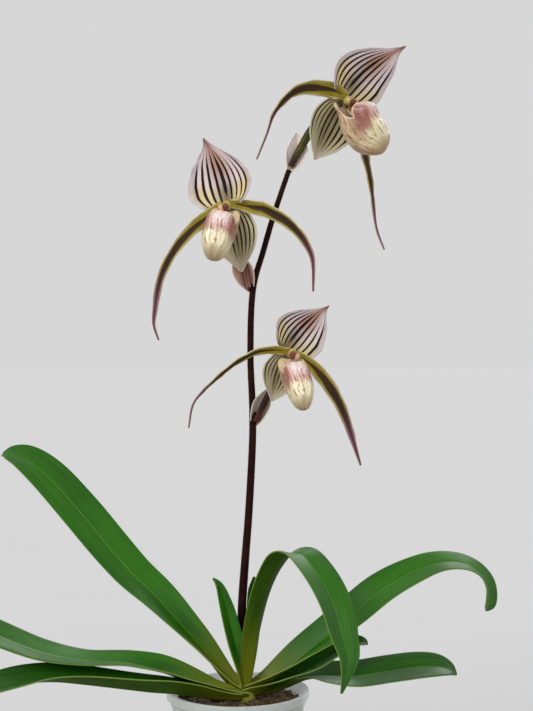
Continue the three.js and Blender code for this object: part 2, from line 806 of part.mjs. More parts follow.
// The lip is a hollow slipper: an outer and an inner skin that meet at the rim of its mouth
function lipSolid(flower, grow = 0) {
  const { mouth, along, length, half, depth } = flower.lip;
  const axis = vector(along).normalize();
  const front = rejectFrom(vector(flower.lip.front), axis);
  const side = new THREE.Vector3().crossVectors(front, axis);
  const centre = vector(mouth).add(vector(flower.centre));
  const rise = vector(flower.lip.attach)
    .sub(vector(mouth))
    .addScaledVector(front, depth * LIP_MOUTH_SWELL);
  const swellAt = (share) => {
    const toe = (share - LIP_TOE_START) / (1 - LIP_TOE_START);
    const belly = THREE.MathUtils.lerp(LIP_MOUTH_SWELL, 1, Math.sin(Math.PI * share));
    return share < LIP_TOE_START ? belly : Math.sqrt(1 - toe ** LIP_TOE_ROUND);
  };
  const ring = (share, inset) => {
    const swell = swellAt(share);
    const belly = LIP_BELLY * Math.sin(Math.PI * share);
    const points = [];
    for (let k = 0; k < LIP_SIDES; k += 1) {
      const angle = (2 * Math.PI * k) / LIP_SIDES;
      const fade = (1 - share) ** 2;
      const behind = fade * (1 - share) * ((1 - Math.cos(angle)) / 2) ** 2;
      const crest = fade * LIP_CREST * ((1 + Math.cos(angle)) / 2) ** 2;
      const across = half * swell * (1 - LIP_NARROWING * behind);
      points.push(
        centre.clone()
          .addScaledVector(axis, share * (length - inset) - crest - grow * (1 - share))
          .addScaledVector(rise, behind)
          .addScaledVector(front, (depth * swell - inset) * Math.cos(angle) + belly)
          .addScaledVector(side, (across - inset) * Math.sin(angle)),
      );
    }
    return points;
  };
  const shares = [];
  for (let i = 0; i < LIP_RINGS; i += 1) {
    shares.push(1 - (1 - i / LIP_RINGS) ** LIP_RING_CROWDING);
  }
  const pole = (inset) => centre.clone().addScaledVector(axis, length - inset);
  const skin = -grow;
  const lining = LIP_WALL + grow;
  const outer = shares.map((share) => ring(share, skin)).reverse();
  const inner = shares.map((share) => ring(share, lining));
  return ballOfRings(pole(skin), [...outer, ...inner], pole(lining));
}

// The column is a short thick finger with a shield in front
function columnSolid(flower, grow = 0) {
  const front = vector(flower.facing).normalize();
  const up = rejectFrom(vector(flower.dorsal.along), front);
  const side = new THREE.Vector3().crossVectors(up, front);
  const frame = new THREE.Matrix4().makeBasis(side, up, front);
  const ball = (radii, forward, raise) => {
    const geometry = new THREE.SphereGeometry(1, COLUMN_SIDES, COLUMN_RINGS);
    geometry.scale(radii[0] + grow, radii[1] + grow, radii[2] + grow);
    geometry.translate(0, raise, forward);
    geometry.applyMatrix4(frame);
    geometry.translate(...flower.centre);
    return solidOf(geometry);
  };
  return ball(COLUMN_RADII, 0, 0).add(ball(SHIELD_RADII, SHIELD_FORWARD, -SHIELD_DROP));
}

const petalBlade = (flower, rows) =>
  new Blade({
    stations: rows.map(([x, y, z, ...shape]) => {
      const place = vector([x, y, z]).add(vector(flower.centre));
      return [...place.toArray(), ...shape];
    }),
    sideOf: sideFromFacing(vector(flower.facing).normalize()),
    thickness: PETAL_THICKNESS,
    steps: PETAL_STEPS,
    across: PETAL_ACROSS,
    cup: 1,
  });

const bractBlade = (flower) =>
  new Blade({
    stations: flower.bract,
    sideOf: sideFromFacing(new THREE.Vector3(0, -1, 0)),
    thickness: BRACT_THICKNESS,
    steps: BRACT_STEPS,
    across: BRACT_ACROSS,
    cup: BRACT_CUP,
  });

// The assembly

const orchid = new THREE.Group();

function addPiece(name, solid, finish) {
  const mesh = new THREE.Mesh(geometryOf(solid), new THREE.MeshStandardMaterial(finish));
  mesh.name = name;
  orchid.add(mesh);
}

addPiece('pot', potSolid(), FINISHES.pot);
addPiece('growing_medium', mediumSolid(), FINISHES.medium);
addPiece('shoot_and_roots', shootSolid(), FINISHES.shoot);

const shootCutter = shootSolid(GAP);
const stemCutter = stalk(STEM, GAP);
addPiece('flower_stem', cutAway(stalk(STEM), [shootCutter]), FINISHES.stem);

// Each piece is cut back from the ones before it, so that it lies a small gap clear of them
const leafCutters = [shootCutter, stemCutter];
for (const leaf of LEAVES) {
  const blade = leafBlade(leaf);
  addPiece(leaf.name, cutAway(blade.solid(), leafCutters), FINISHES.leaf);
  leafCutters.push(blade.solid(GAP));
}

for (const flower of FLOWERS) {
  const cutters = [stemCutter, columnSolid(flower, GAP)];
  const addOrgan = (name, solid, grown, finish) => {
    addPiece(`${flower.name}_${name}`, cutAway(solid, cutters), finish);
    cutters.push(grown);
  };
  const addBlade = (name, blade, finish) => {
    addOrgan(name, blade.solid(), blade.solid(GAP), finish);
  };
  const ovary = { stations: flower.ovary, steps: OVARY_STEPS };
  addPiece(`${flower.name}_column`, columnSolid(flower), FINISHES.column);
  addOrgan('ovary', stalk(ovary), stalk(ovary, GAP), FINISHES.ovary);
  addOrgan('lip', lipSolid(flower), lipSolid(flower, 2 * GAP), FINISHES.lip);
  for (const [hand, rows] of Object.entries(flower.petals)) {
    addBlade(`${hand}_petal`, petalBlade(flower, rows), FINISHES.petal);
  }
  const dorsal = sepalBlade(flower, flower.dorsal, DORSAL_OUTLINE, {
    back: DORSAL_BACK, steps: DORSAL_STEPS, across: DORSAL_ACROSS,
  });
  addBlade('dorsal_sepal', dorsal, FINISHES.dorsal_sepal);
  const ventral = sepalBlade(flower, flower.ventral, VENTRAL_OUTLINE, {
    back: VENTRAL_BACK, steps: VENTRAL_STEPS, across: VENTRAL_ACROSS,
  });
  addBlade('ventral_sepal', ventral, FINISHES.ventral_sepal);
  addBlade('bract', bractBlade(flower), FINISHES.bract);
}

export default orchid;
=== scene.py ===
"""Looks of the potted slipper orchid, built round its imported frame."""

import logging
import math
import random
from collections.abc import Callable, Iterable
from dataclasses import dataclass
from enum import Enum

import bmesh
import bpy
from mathutils import Matrix, Vector, noise


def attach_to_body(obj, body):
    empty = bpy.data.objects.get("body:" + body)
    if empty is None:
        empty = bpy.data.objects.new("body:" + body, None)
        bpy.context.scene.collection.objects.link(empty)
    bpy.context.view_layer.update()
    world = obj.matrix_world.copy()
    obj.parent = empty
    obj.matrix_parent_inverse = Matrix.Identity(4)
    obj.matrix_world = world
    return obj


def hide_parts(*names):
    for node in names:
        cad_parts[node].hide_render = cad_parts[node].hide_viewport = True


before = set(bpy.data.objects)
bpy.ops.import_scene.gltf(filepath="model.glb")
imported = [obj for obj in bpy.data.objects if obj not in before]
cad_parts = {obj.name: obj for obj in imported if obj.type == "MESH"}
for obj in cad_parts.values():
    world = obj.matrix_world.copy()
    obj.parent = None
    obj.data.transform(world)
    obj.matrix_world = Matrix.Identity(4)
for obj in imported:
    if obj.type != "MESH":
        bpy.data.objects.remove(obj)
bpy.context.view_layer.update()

LOG = logging.getLogger("orchid")
MM = 0.001
WELD = 1e-6
BODY = "root"
UV_NAME = "blade"

Colour = tuple[float, float, float, float]
Pair = tuple[float, float]
Triple = tuple[float, float, float]
Station = tuple[float, ...]
Socket = bpy.types.NodeSocket
EditMesh = bmesh.types.BMesh

WHITE: Colour = (1.0, 1.0, 1.0, 1.0)


def tint(code: str) -> Colour:
    """Turn a six-digit screen colour into the linear colour that shaders use.

    Args:
        code: Red, green and blue as hexadecimal digits.

    Returns:
        The linear colour with full alpha.
    """
    levels = [int(code[k : k + 2], 16) / 255 for k in (0, 2, 4)]
    linear = [v / 12.92 if v <= 0.04045 else ((v + 0.055) / 1.055) ** 2.4 for v in levels]
    return (linear[0], linear[1], linear[2], 1.0)


def mix(low: float, high: float, share: float) -> float:
    """Blend two numbers by a share."""
    return low + (high - low) * share


def smooth(value: float, low: float, high: float) -> float:
    """Ease from 0 at low to 1 at high."""
    share = min(max((value - low) / (high - low), 0.0), 1.0)
    return share * share * (3 - 2 * share)


def bell(value: float, centre: float, width: float) -> float:
    """Rise to 1 at a centre and fall away on both sides of it."""
    return math.exp(-(((value - centre) / width) ** 2))


def angles_round(count: int) -> list[float]:
    """List even directions round a circle, in radians."""
    return [2 * math.pi * k / count for k in range(count)]


def reject(direction: Vector, axis: Vector) -> Vector:
    """Take the part of a direction that is square to an axis, at unit length."""
    return (direction - axis * direction.dot(axis)).normalized()


class Spline:
    """A smooth curve through points, with equal steps from each point to the next."""

    def __init__(self, points: Iterable[Iterable[float]]) -> None:
        """Keep the points, with one more past each end.

        Args:
            points: The places that the curve passes through.
        """
        places = [Vector(point) for point in points]
        before = places[0] * 2 - places[1]
        after = places[-1] * 2 - places[-2]
        self.places = [before, *places, after]

    def at(self, share: float) -> Vector:
        """Find the curve's place.

        Args:
            share: How far along, from 0 to 1.

        Returns:
            The place on the curve.
        """
        spans = len(self.places) - 3
        along = min(max(share, 0.0), 1.0) * spans
        index = min(int(along), spans - 1)
        t = along - index
        a, b, c, d = self.places[index : index + 4]
        square = (2 * a - 5 * b + 4 * c - d) * t**2
        cube = (3 * b - a - 3 * c + d) * t**3
        return (2 * b + (c - a) * t + square + cube) * 0.5

    def heading(self, share: float) -> Vector:
        """Find the curve's direction at a share of its way."""
        step = 1e-4
        return (self.at(share + step) - self.at(share - step)).normalized()

    def shares(self, count: int) -> list[float]:
        """List how much of the length is passed at each of some even steps.

        Args:
            count: The number of steps.

        Returns:
            The share of the length, from 0 to 1, at every step.
        """
        places = [self.at(k / count) for k in range(count + 1)]
        passed = [0.0]
        for here, there in zip(places, places[1:]):
            passed.append(passed[-1] + (there - here).length)
        return [length / passed[-1] for length in passed]


def side_from_azimuth(degrees: float) -> Callable[[Vector], Vector]:
    """Give the rule for a side that lies level, square to a compass direction.

    Args:
        degrees: The direction that the leaf grows in, from the viewer's right round to the back.

    Returns:
        The rule, which turns the midrib's heading into the side.
    """
    angle = math.radians(degrees)
    side = Vector((math.sin(angle), -math.cos(angle), 0))
    return lambda heading: reject(side, heading)


def side_from_facing(facing: Vector) -> Callable[[Vector], Vector]:
    """Give the rule for a side that keeps the sheet turned towards a direction."""
    return lambda heading: heading.cross(facing).normalized()


def settle(name: str, mesh: EditMesh) -> bpy.types.Mesh:
    """Turn an edited mesh into mesh data.

    Args:
        name: The data's name.
        mesh: The edited mesh, which is freed.

    Returns:
        The mesh data.
    """
    data = bpy.data.meshes.new(name)
    mesh.to_mesh(data)
    mesh.free()
    return data


def stand(name: str, data: bpy.types.ID) -> bpy.types.Object:
    """Put a new object into the scene.

    Args:
        name: Its name.
        data: Its mesh, camera or light.

    Returns:
        The object.
    """
    made = bpy.data.objects.new(name, data)
    bpy.context.scene.collection.objects.link(made)
    return made


def publish(
    name: str,
    mesh: EditMesh,
    finishes: list["Finish"],
    slot: str,
    replaces: tuple[str, ...] = (),
) -> bpy.types.Object:
    """Turn an edited mesh into a piece of the orchid.

    Args:
        name: The piece's name.
        mesh: Its mesh, in place and in metres, which is freed.
        finishes: The finishes of its material slots, in order.
        slot: The record's slot; not used.
        replaces: The frame's nodes that it stands for.

    Returns:
        The new object.
    """
    for face in mesh.faces:
        face.smooth = True
    data = settle(name, mesh)
    piece = stand(name, data)
    for finish in finishes:
        data.materials.append(finish.material())
    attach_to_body(piece, BODY)
    if replaces:
        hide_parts(*replaces)
    LOG.info("%s: %d faces", name, len(data.polygons))
    return piece


def thicken(piece: bpy.types.Object, thickness: float, offset: float = 0.0, even: bool = True) -> None:
    """Give a sheet its thickness, its second finish on the back, and round edges.

    Args:
        piece: The sheet.
        thickness: In millimetres.
        offset: To which side it grows: 0 for both, -1 for inward.
        even: Whether it keeps its thickness in sharp bends.
    """
    wall = piece.modifiers.new("thickness", "SOLIDIFY")
    wall.thickness = thickness * MM
    wall.offset = offset
    wall.use_even_offset = even
    wall.material_offset = 1
    wall.material_offset_rim = 0
    skin = piece.modifiers.new("smoothing", "SUBSURF")
    skin.levels = 1
    skin.render_levels = 1


@dataclass
class Blade:
    """A leaf, petal, sepal or bract: a thin sheet along a curved midrib.

    A station is a place on the midrib, the half width, the roll about the midrib and the lift
    of the two halves, in millimetres and degrees.
    """

    stations: list[Station]
    side_of: Callable[[Vector], Vector]
    rows: int
    columns: int
    cup: float = 0.0
    wave: float = 0.0
    waves: float = 0.0
    frill: float = 0.0
    frills: float = 0.0
    groove: float = 0.0
    seed: float = 0.0

    EDGE_POWER = 4
    WAVE_SHIFT = 1.3
    FULL_WAVE_HALF = 8.0
    LEAST_HALF = 0.5
    GROOVE_WIDTH = 0.12
    EDGE_GAP = 3.7
    EDGE_STRETCH = 0.02
    LENGTH_STEPS = 200

    def __post_init__(self) -> None:
        """Lay the two curves through the stations."""
        self.midrib = Spline(row[:3] for row in self.stations)
        self.shape = Spline(row[3:6] for row in self.stations)

    def frame_at(self, along: float) -> tuple[Vector, Vector, Vector, Vector]:
        """Find the midrib's place, side, normal and shape numbers.

        Args:
            along: The share of the stations, from 0 to 1.

        Returns:
            The place, the side, the normal, and the half width, roll and fold.
        """
        centre = self.midrib.at(along)
        heading = self.midrib.heading(along)
        shape = self.shape.at(along)
        turn = Matrix.Rotation(math.radians(-shape.y), 3, heading)
        side = turn @ self.side_of(heading)
        return centre, side, side.cross(heading), shape

    def point(self, along: float, across: float) -> Vector:
        """Find a point of the sheet, in millimetres.

        Args:
            along: From the root, 0, to the tip, 1.
            across: From one edge, -1, to the other, 1.

        Returns:
            The point.
        """
        centre, side, normal, shape = self.frame_at(along)
        reach = max(shape.x, self.LEAST_HALF)
        angle = math.radians(shape.z)
        rise = mix(abs(across), across * across, self.cup)
        width = min(1.0, shape.x / self.FULL_WAVE_HALF)
        sign = math.copysign(1.0, across) if across else 0.0
        phase = 2 * math.pi * self.waves * along + self.WAVE_SHIFT * sign
        lift = reach * math.sin(angle) * rise + self.wave * math.sin(phase) * across**2 * width
        edge = abs(across) ** self.EDGE_POWER * width
        jitter = noise.noise(Vector((along * self.frills, sign * self.EDGE_GAP, self.seed)))
        lift += self.frill * jitter * edge
        lift -= self.groove * bell(across, 0, self.GROOVE_WIDTH) * width
        stretch = 1 + self.EDGE_STRETCH * self.frill * jitter * abs(across)
        return centre + side * (reach * math.cos(angle) * across * stretch) + normal * lift

    def sheet(self) -> EditMesh:
        """Make the sheet from a grid, with across and along kept in its UV map.

        Returns:
            The mesh, in metres.
        """
        mesh = bmesh.new()
        layer = mesh.loops.layers.uv.new(UV_NAME)
        bmesh.ops.create_grid(mesh, x_segments=self.columns, y_segments=self.rows, size=1.0)
        steps = self.LENGTH_STEPS
        passed = self.midrib.shares(steps)
        for face in mesh.faces:
            for loop in face.loops:
                across, along = loop.vert.co.x, (loop.vert.co.y + 1) / 2
                place = along * steps
                index = min(int(place), steps - 1)
                length = mix(passed[index], passed[index + 1], place - index)
                loop[layer].uv = ((across + 1) / 2, length)
        for vertex in mesh.verts:
            vertex.co = self.point((vertex.co.y + 1) / 2, vertex.co.x) * MM
        return mesh


class Nodes:
    """Adds nodes to a shader tree and links them."""

    def __init__(self, tree: bpy.types.NodeTree) -> None:
        """Keep the tree.

        Args:
            tree: The tree of a material or a group.
        """
        self.tree = tree

    def add(self, kind: str, values: dict | None = None, **settings: object) -> bpy.types.Node:
        """Add a node.

        Args:
            kind: The node's type.
            values: What each named or numbered input holds, or the output linked to it.
            settings: The node's own settings.

        Returns:
            The node.
        """
        node = self.tree.nodes.new(kind)
        for name, value in settings.items():
            setattr(node, name, value)
        for name, value in (values or {}).items():
            self.feed(node.inputs[name], value)
        return node

    def feed(self, socket: Socket, value: object) -> None:
        """Link an output to an input, or set the input's own value.

        Args:
            socket: The input.
            value: An output, a number or a colour.
        """
        if isinstance(value, Socket):
            self.tree.links.new(value, socket)
        else:
            socket.default_value = value

    def math(self, operation: str, a: object, b: object = 0.0, c: object = 0.0) -> Socket:
        """Work out a number from up to three others."""
        node = self.add("ShaderNodeMath", {0: a, 1: b, 2: c}, operation=operation)
        return node.outputs[0]

    def mix(self, share: object, a: object, b: object, blend: str = "MIX") -> Socket:
        """Blend two colours by a share."""
        node = self.add("ShaderNodeMix", {0: share, 6: a, 7: b}, data_type="RGBA", blend_type=blend)
        return node.outputs[2]

    def ease(self, value: object, low: object, high: object) -> Socket:
        """Ease from 0 at low to 1 at high, either way round."""
        limits = {0: value, 1: low, 2: high}
        return self.add("ShaderNodeMapRange", limits, interpolation_type="SMOOTHSTEP").outputs[0]

    def noise(
        self, vector: object, scale: float, detail: float = 3.0, rough: float = 0.55, twist: float = 0.0
    ) -> Socket:
        """Give soft noise.

        Args:
            vector: Where it is looked up.
            scale: Its number of waves to a unit.
            detail: Its steps of finer noise.
            rough: How strong the finer noise is.
            twist: How far it is bent.

        Returns:
            A number from 0 to 1.
        """
        values = {"Vector": vector, "Scale": scale, "Detail": detail}
        values |= {"Roughness": rough, "Distortion": twist}
        return self.add("ShaderNodeTexNoise", values).outputs[0]

    def streaks(
        self, vector: object, scale: Triple, detail: float = 3.0, rough: float = 0.55, twist: float = 0.0
    ) -> Socket:
        """Give soft noise that has a scale of its own along each axis."""
        place = self.add("ShaderNodeMapping", {"Vector": vector, "Scale": scale}).outputs[0]
        return self.noise(place, 1.0, detail, rough, twist)

    def blade_map(self) -> tuple[Socket, Socket, Socket]:
        """Read the piece's UV map.

        Returns:
            The map, and its two parts: across or round, and along.
        """
        uv = self.add("ShaderNodeUVMap", uv_map=UV_NAME).outputs[0]
        parts = self.add("ShaderNodeSeparateXYZ", {0: uv})
        return uv, parts.outputs[0], parts.outputs[1]

    def place(self) -> Socket:
        """Give the place on the piece, in metres."""
        return self.add("ShaderNodeTexCoord").outputs["Object"]

    def wash(self, colour: object, share: object, strength: float, code: str) -> Socket:
        """Lay a second colour over a first, where a share says and at no more than a strength."""
        return self.mix(self.math("MULTIPLY", share, strength), colour, tint(code))

    def sway(self, soft: object, reach: float, value: object) -> Socket:
        """Shift a number up and down with soft noise."""
        return self.math("MULTIPLY_ADD", self.math("SUBTRACT", soft, 0.5), reach, value)

    def apart(self, a: object, b: object) -> Socket:
        """Find how far apart two numbers are."""
        return self.math("ABSOLUTE", self.math("SUBTRACT", a, b))

    def shaded(self, colour: object, share: object, light: Colour, dark: Colour) -> Socket:
        """Multiply a colour by one that a share takes from light to dark."""
        return self.mix(1.0, colour, self.mix(share, light, dark), "MULTIPLY")

    def group(self, shared: "Shared", values: dict[str, float]) -> dict[str, Socket]:
        """Add a shared group.

        Args:
            shared: Which one.
            values: The settings of its inputs.

        Returns:
            Its outputs by name.
        """
        node = self.add("ShaderNodeGroup", node_tree=shared.group())
        for name, value in values.items():
            node.inputs[name].default_value = value
        return {socket.name: socket for socket in node.outputs}


class Shared(Enum):
    """The node groups that more than one material uses."""

    STRIPES = "lengthwise stripes"
    MOTTLE = "mottled surface"

    def group(self) -> bpy.types.NodeTree:
        """Find the group, or build it the first time.

        Returns:
            The node group.
        """
        found = bpy.data.node_groups.get(self.value)
        if found:
            return found
        tree = bpy.data.node_groups.new(self.value, "ShaderNodeTree")
        if self is Shared.STRIPES:
            self._stripes(tree)
        else:
            self._mottle(tree)
        return tree

    @staticmethod
    def _sockets(tree: bpy.types.NodeTree, inputs: dict[str, float], outputs: list[str]) -> None:
        """Give a group its number sockets.

        Args:
            tree: The group.
            inputs: The value that each named input starts with.
            outputs: The names of its outputs.
        """
        for name, value in inputs.items():
            socket = tree.interface.new_socket(name, in_out="INPUT", socket_type="NodeSocketFloat")
            socket.default_value = value
        for name in outputs:
            tree.interface.new_socket(name, in_out="OUTPUT", socket_type="NodeSocketFloat")

    def _stripes(self, tree: bpy.types.NodeTree) -> None:
        """Build stripes that run from root to tip and close in with the blade.

        The middle stripe is the boldest and starts late, and the outer ones end early.

        Args:
            tree: The empty group.
        """
        inputs = {
            "Count": 12.0, "Width": 0.2, "Start": 0.05, "End": 0.95, "Wander": 0.1, "Uneven": 0.5,
            "Bold": 0.0, "Dots": 0.0,
        }
        self._sockets(tree, inputs, ["Mask", "Across", "Along"])
        n = Nodes(tree)
        given = n.add("NodeGroupInput").outputs
        uv, aside, along = n.blade_map()
        across = n.math("MULTIPLY_ADD", aside, 2.0, -1.0)
        soft = n.streaks(uv, (4.0, 7.0, 1.0), 2.0)
        drift = n.math("MULTIPLY", n.math("SUBTRACT", soft, 0.5), given["Wander"])
        lane = n.math("ADD", n.math("MULTIPLY", across, n.math("MULTIPLY", given["Count"], 0.5)), drift)
        index = n.math("ROUND", lane)
        off = n.apart(lane, index)
        rank = n.math("ABSOLUTE", index)
        middle = n.math("SUBTRACT", 1.0, n.math("MINIMUM", rank, 1.0))
        dice = n.add("ShaderNodeTexWhiteNoise", {"W": index}, noise_dimensions="1D").outputs[0]
        chance = n.math("MULTIPLY", dice, given["Uneven"])
        late = n.math("MULTIPLY_ADD", middle, 0.12, n.math("MULTIPLY_ADD", chance, 0.08, given["Start"]))
        rise = n.ease(along, late, n.math("ADD", late, 0.16))
        early = n.math("MULTIPLY_ADD", chance, -0.3, given["End"])
        early = n.math("MULTIPLY_ADD", rank, -0.02, early)
        fall = n.ease(along, early, n.math("SUBTRACT", early, 0.35))
        broad = n.math("MULTIPLY_ADD", middle, given["Bold"], n.math("MULTIPLY_ADD", chance, -0.45, 1.0))
        present = n.math("MULTIPLY", rise, fall)
        wide = n.math("MULTIPLY", present, n.math("MULTIPLY", broad, given["Width"]))
        mask = n.ease(off, n.math("ADD", wide, 0.05), n.math("SUBTRACT", wide, 0.05))
        shown = n.math("MULTIPLY", mask, n.ease(wide, 0.0, 0.04))
        dotted = n.streaks(uv, (30.0, 150.0, 1.0), 1.0)
        kept = n.math("SUBTRACT", 1.0, n.math("MULTIPLY", n.ease(dotted, 0.44, 0.6), given["Dots"]))
        shown = n.math("MULTIPLY", shown, kept)
        n.add("NodeGroupOutput", {"Mask": shown, "Across": across, "Along": along})

    def _mottle(self, tree: bpy.types.NodeTree) -> None:
        """Build cells and clouds for a living surface.

        Args:
            tree: The empty group.
        """
        self._sockets(tree, {"Cloud": 60.0, "Grain": 900.0}, ["Cloud", "Height"])
        n = Nodes(tree)
        given = n.add("NodeGroupInput").outputs
        place = n.place()
        cloud = n.noise(place, given["Cloud"], 4.0)
        cells = n.add(
            "ShaderNodeTexVoronoi", {"Vector": place, "Scale": given["Grain"]}, feature="SMOOTH_F1"
        ).outputs[0]
        fine = n.noise(place, given["Grain"], 2.0)
        height = n.math("MULTIPLY_ADD", cells, 0.6, n.math("MULTIPLY", fine, 0.5))
        n.add("NodeGroupOutput", {"Cloud": cloud, "Height": height})


@dataclass(frozen=True)
class Finish:
    """A finish of the orchid: how a surface looks, from nodes alone."""

    name: str
    roughness: float = 0.5
    specular: float = 0.5
    coat: float = 0.0
    flesh: float = 0.0
    bump: float = 0.2

    COAT_ROUGHNESS = 0.2
    FLESH_RADIUS = (1.0, 0.6, 0.4)
    FLESH_SCALE = 0.0015
    SHINE_SPREAD = 0.2
    CLOUD_SCALE = 60.0
    GRAIN_SCALE = 900.0
    BUMP_STRENGTH = 0.5
    BUMP_HEIGHT = 0.0004

    def material(self) -> bpy.types.Material:
        """Find this finish's material, or build it the first time.

        Returns:
            The material.
        """
        found = bpy.data.materials.get(self.name)
        if found:
            return found
        made = bpy.data.materials.new(self.name)
        made.use_nodes = True
        tree = made.node_tree
        tree.nodes.clear()
        n = Nodes(tree)
        mottle = n.group(Shared.MOTTLE, {"Cloud": self.CLOUD_SCALE, "Grain": self.GRAIN_SCALE})
        colour, relief = self.paint(n, mottle["Cloud"])
        spread = self.SHINE_SPREAD
        shine = n.math("MULTIPLY_ADD", mottle["Cloud"], spread, self.roughness - spread / 2)
        surface = n.add("ShaderNodeBsdfPrincipled", {"Base Color": colour, "Roughness": shine})
        uniform = {
            "Specular IOR Level": self.specular,
            "Coat Weight": self.coat,
            "Coat Roughness": self.COAT_ROUGHNESS,
            "Subsurface Weight": self.flesh,
            "Subsurface Radius": self.FLESH_RADIUS,
            "Subsurface Scale": self.FLESH_SCALE,
        }
        for name, value in uniform.items():
            surface.inputs[name].default_value = value
        height = n.math("MULTIPLY_ADD", mottle["Height"], self.bump, relief)
        values = {"Height": height, "Strength": self.BUMP_STRENGTH, "Distance": self.BUMP_HEIGHT}
        bump = n.add("ShaderNodeBump", values)
        n.feed(surface.inputs["Normal"], bump.outputs[0])
        self.adjust(surface)
        n.add("ShaderNodeOutputMaterial", {"Surface": surface.outputs[0]})
        return made

    def adjust(self, surface: bpy.types.Node) -> None:
        """Set what only this finish needs on its shader."""

    def paint(self, n: Nodes, cloud: Socket) -> tuple[object, object]:
        """Give the colour and the raised pattern.

        Args:
            n: The material's nodes.
            cloud: Soft noise over the piece.

        Returns:
            The colour and the height.
        """
        raise NotImplementedError


@dataclass(frozen=True)
class StripedFinish(Finish):
    """A blade with lengthwise stripes on a ground that changes from root to tip."""

    count: float = 12.0
    width: float = 0.2
    start: float = 0.05
    end: float = 0.95
    wander: float = 0.12
    uneven: float = 0.5
    bold: float = 0.0
    dots: float = 0.0
    root: str = "8f8a3c"
    base: str = "e6dca8"
    belly: str = "f0dcd8"
    glow: str = "d8a898"
    tip: str = "b98682"
    rim: str = "d8d4d4"
    stripe: str = "2a0a10"
    stripe_share: float = 1.0
    band: float = 0.0
    band_colour: str = "3c1518"
    band_start: float = 0.0
    tail: str = "5e3040"
    tail_rim: str = "b294a0"
    tail_share: float = 0.0
    hem: str = "a49cae"
    hem_share: float = 0.0
    tip_start: float = 0.72
    rim_start: float = 0.84
    heart: float = 0.4
    veins: float = 5.0

    def paint(self, n: Nodes, cloud: Socket) -> tuple[object, object]:
        """Paint ground, heart, rim, centre band, tail and stripes, in that order.

        Args:
            n: The material's nodes.
            cloud: Soft noise over the piece.

        Returns:
            The colour and the height.
        """
        stripes = n.group(Shared.STRIPES, {
            "Count": self.count, "Width": self.width, "Start": self.start, "End": self.end,
            "Wander": self.wander, "Uneven": self.uneven, "Bold": self.bold, "Dots": self.dots,
        })
        across, along = stripes["Across"], stripes["Along"]
        off = n.math("ABSOLUTE", across)
        fine = n.streaks(n.blade_map()[0], (60.0, 5.0, 1.0), 2.0)
        ground = self.ground(n, off, along, fine)
        inside = n.math("MULTIPLY", stripes["Mask"], n.ease(off, 0.97, 0.9))
        marks = n.math("MULTIPLY", inside, self.stripe_share)
        if self.band:
            ground = self.belt(n, ground, n.sway(fine, 0.7, off), along)
        if self.tail_share:
            far = n.math("MULTIPLY", n.ease(along, 0.5, 0.8), self.tail_share)
            tail = n.mix(n.ease(off, 0.2, 0.8), tint(self.tail), tint(self.tail_rim))
            ground = n.mix(far, ground, tail)
            marks = n.math("MULTIPLY", marks, n.ease(along, 0.8, 0.6))
        colour = n.mix(marks, ground, tint(self.stripe))
        colour = n.shaded(colour, n.math("MULTIPLY", cloud, 0.4), WHITE, (0.8, 0.78, 0.76, 1.0))
        ribs = n.math("SINE", n.math("MULTIPLY", across, self.count * self.veins))
        return colour, n.math("MULTIPLY_ADD", ribs, 0.25, n.math("MULTIPLY", fine, 0.5))

    def ground(self, n: Nodes, off: object, along: object, fine: object) -> Socket:
        """Paint all that lies under the stripes.

        Args:
            n: The material's nodes.
            off: How far from the midrib, from 0 to 1.
            along: From the root, 0, to the tip, 1.
            fine: Fine streaks that run lengthwise.

        Returns:
            The colour.
        """
        reach = n.math("MULTIPLY_ADD", off, -0.25, along)
        ground = n.mix(n.ease(reach, 0.0, 0.36), tint(self.base), tint(self.belly))
        above = n.math("MULTIPLY", n.ease(off, self.heart, 0.0), n.ease(along, 0.28, 0.55))
        ground = n.wash(ground, above, 0.85, self.glow)
        # The root's own colour carried up the lower middle of the blade, which stands for painted shade
        # in the blade's cupped hollow.
        low = n.math("MULTIPLY", n.ease(off, self.heart * 0.7, 0.0), n.ease(along, 0.55, 0.2))
        ground = n.wash(ground, low, 0.85, self.root)
        ground = n.mix(n.ease(along, 0.1, 0.0), ground, tint(self.root))
        ground = n.mix(n.ease(along, self.tip_start, 0.97), ground, tint(self.tip))
        ground = n.mix(n.ease(off, self.rim_start, 1.0), ground, tint(self.rim))
        ground = n.wash(ground, n.ease(n.apart(off, 0.86), 0.06, 0.01), self.hem_share, self.hem)
        return n.wash(ground, n.ease(fine, 0.5, 0.72), 0.2, self.glow)

    def belt(self, n: Nodes, ground: object, edge: object, along: object) -> Socket:
        """Paint the dark band along the middle, which widens from its start.

        Args:
            n: The material's nodes.
            ground: The colour under it.
            edge: How far from the midrib, made ragged.
            along: From the root, 0, to the tip, 1.

        Returns:
            The colour.
        """
        grown = n.ease(along, self.band_start, self.band_start + 0.4)
        reach = n.math("MULTIPLY_ADD", grown, self.band * 0.85, self.band * 0.15)
        belt = n.ease(edge, n.math("ADD", reach, 0.08), n.math("SUBTRACT", reach, 0.08))
        belt = n.math("MULTIPLY", belt, n.ease(along, self.band_start, self.band_start + 0.06))
        return n.wash(ground, belt, 0.95, self.band_colour)


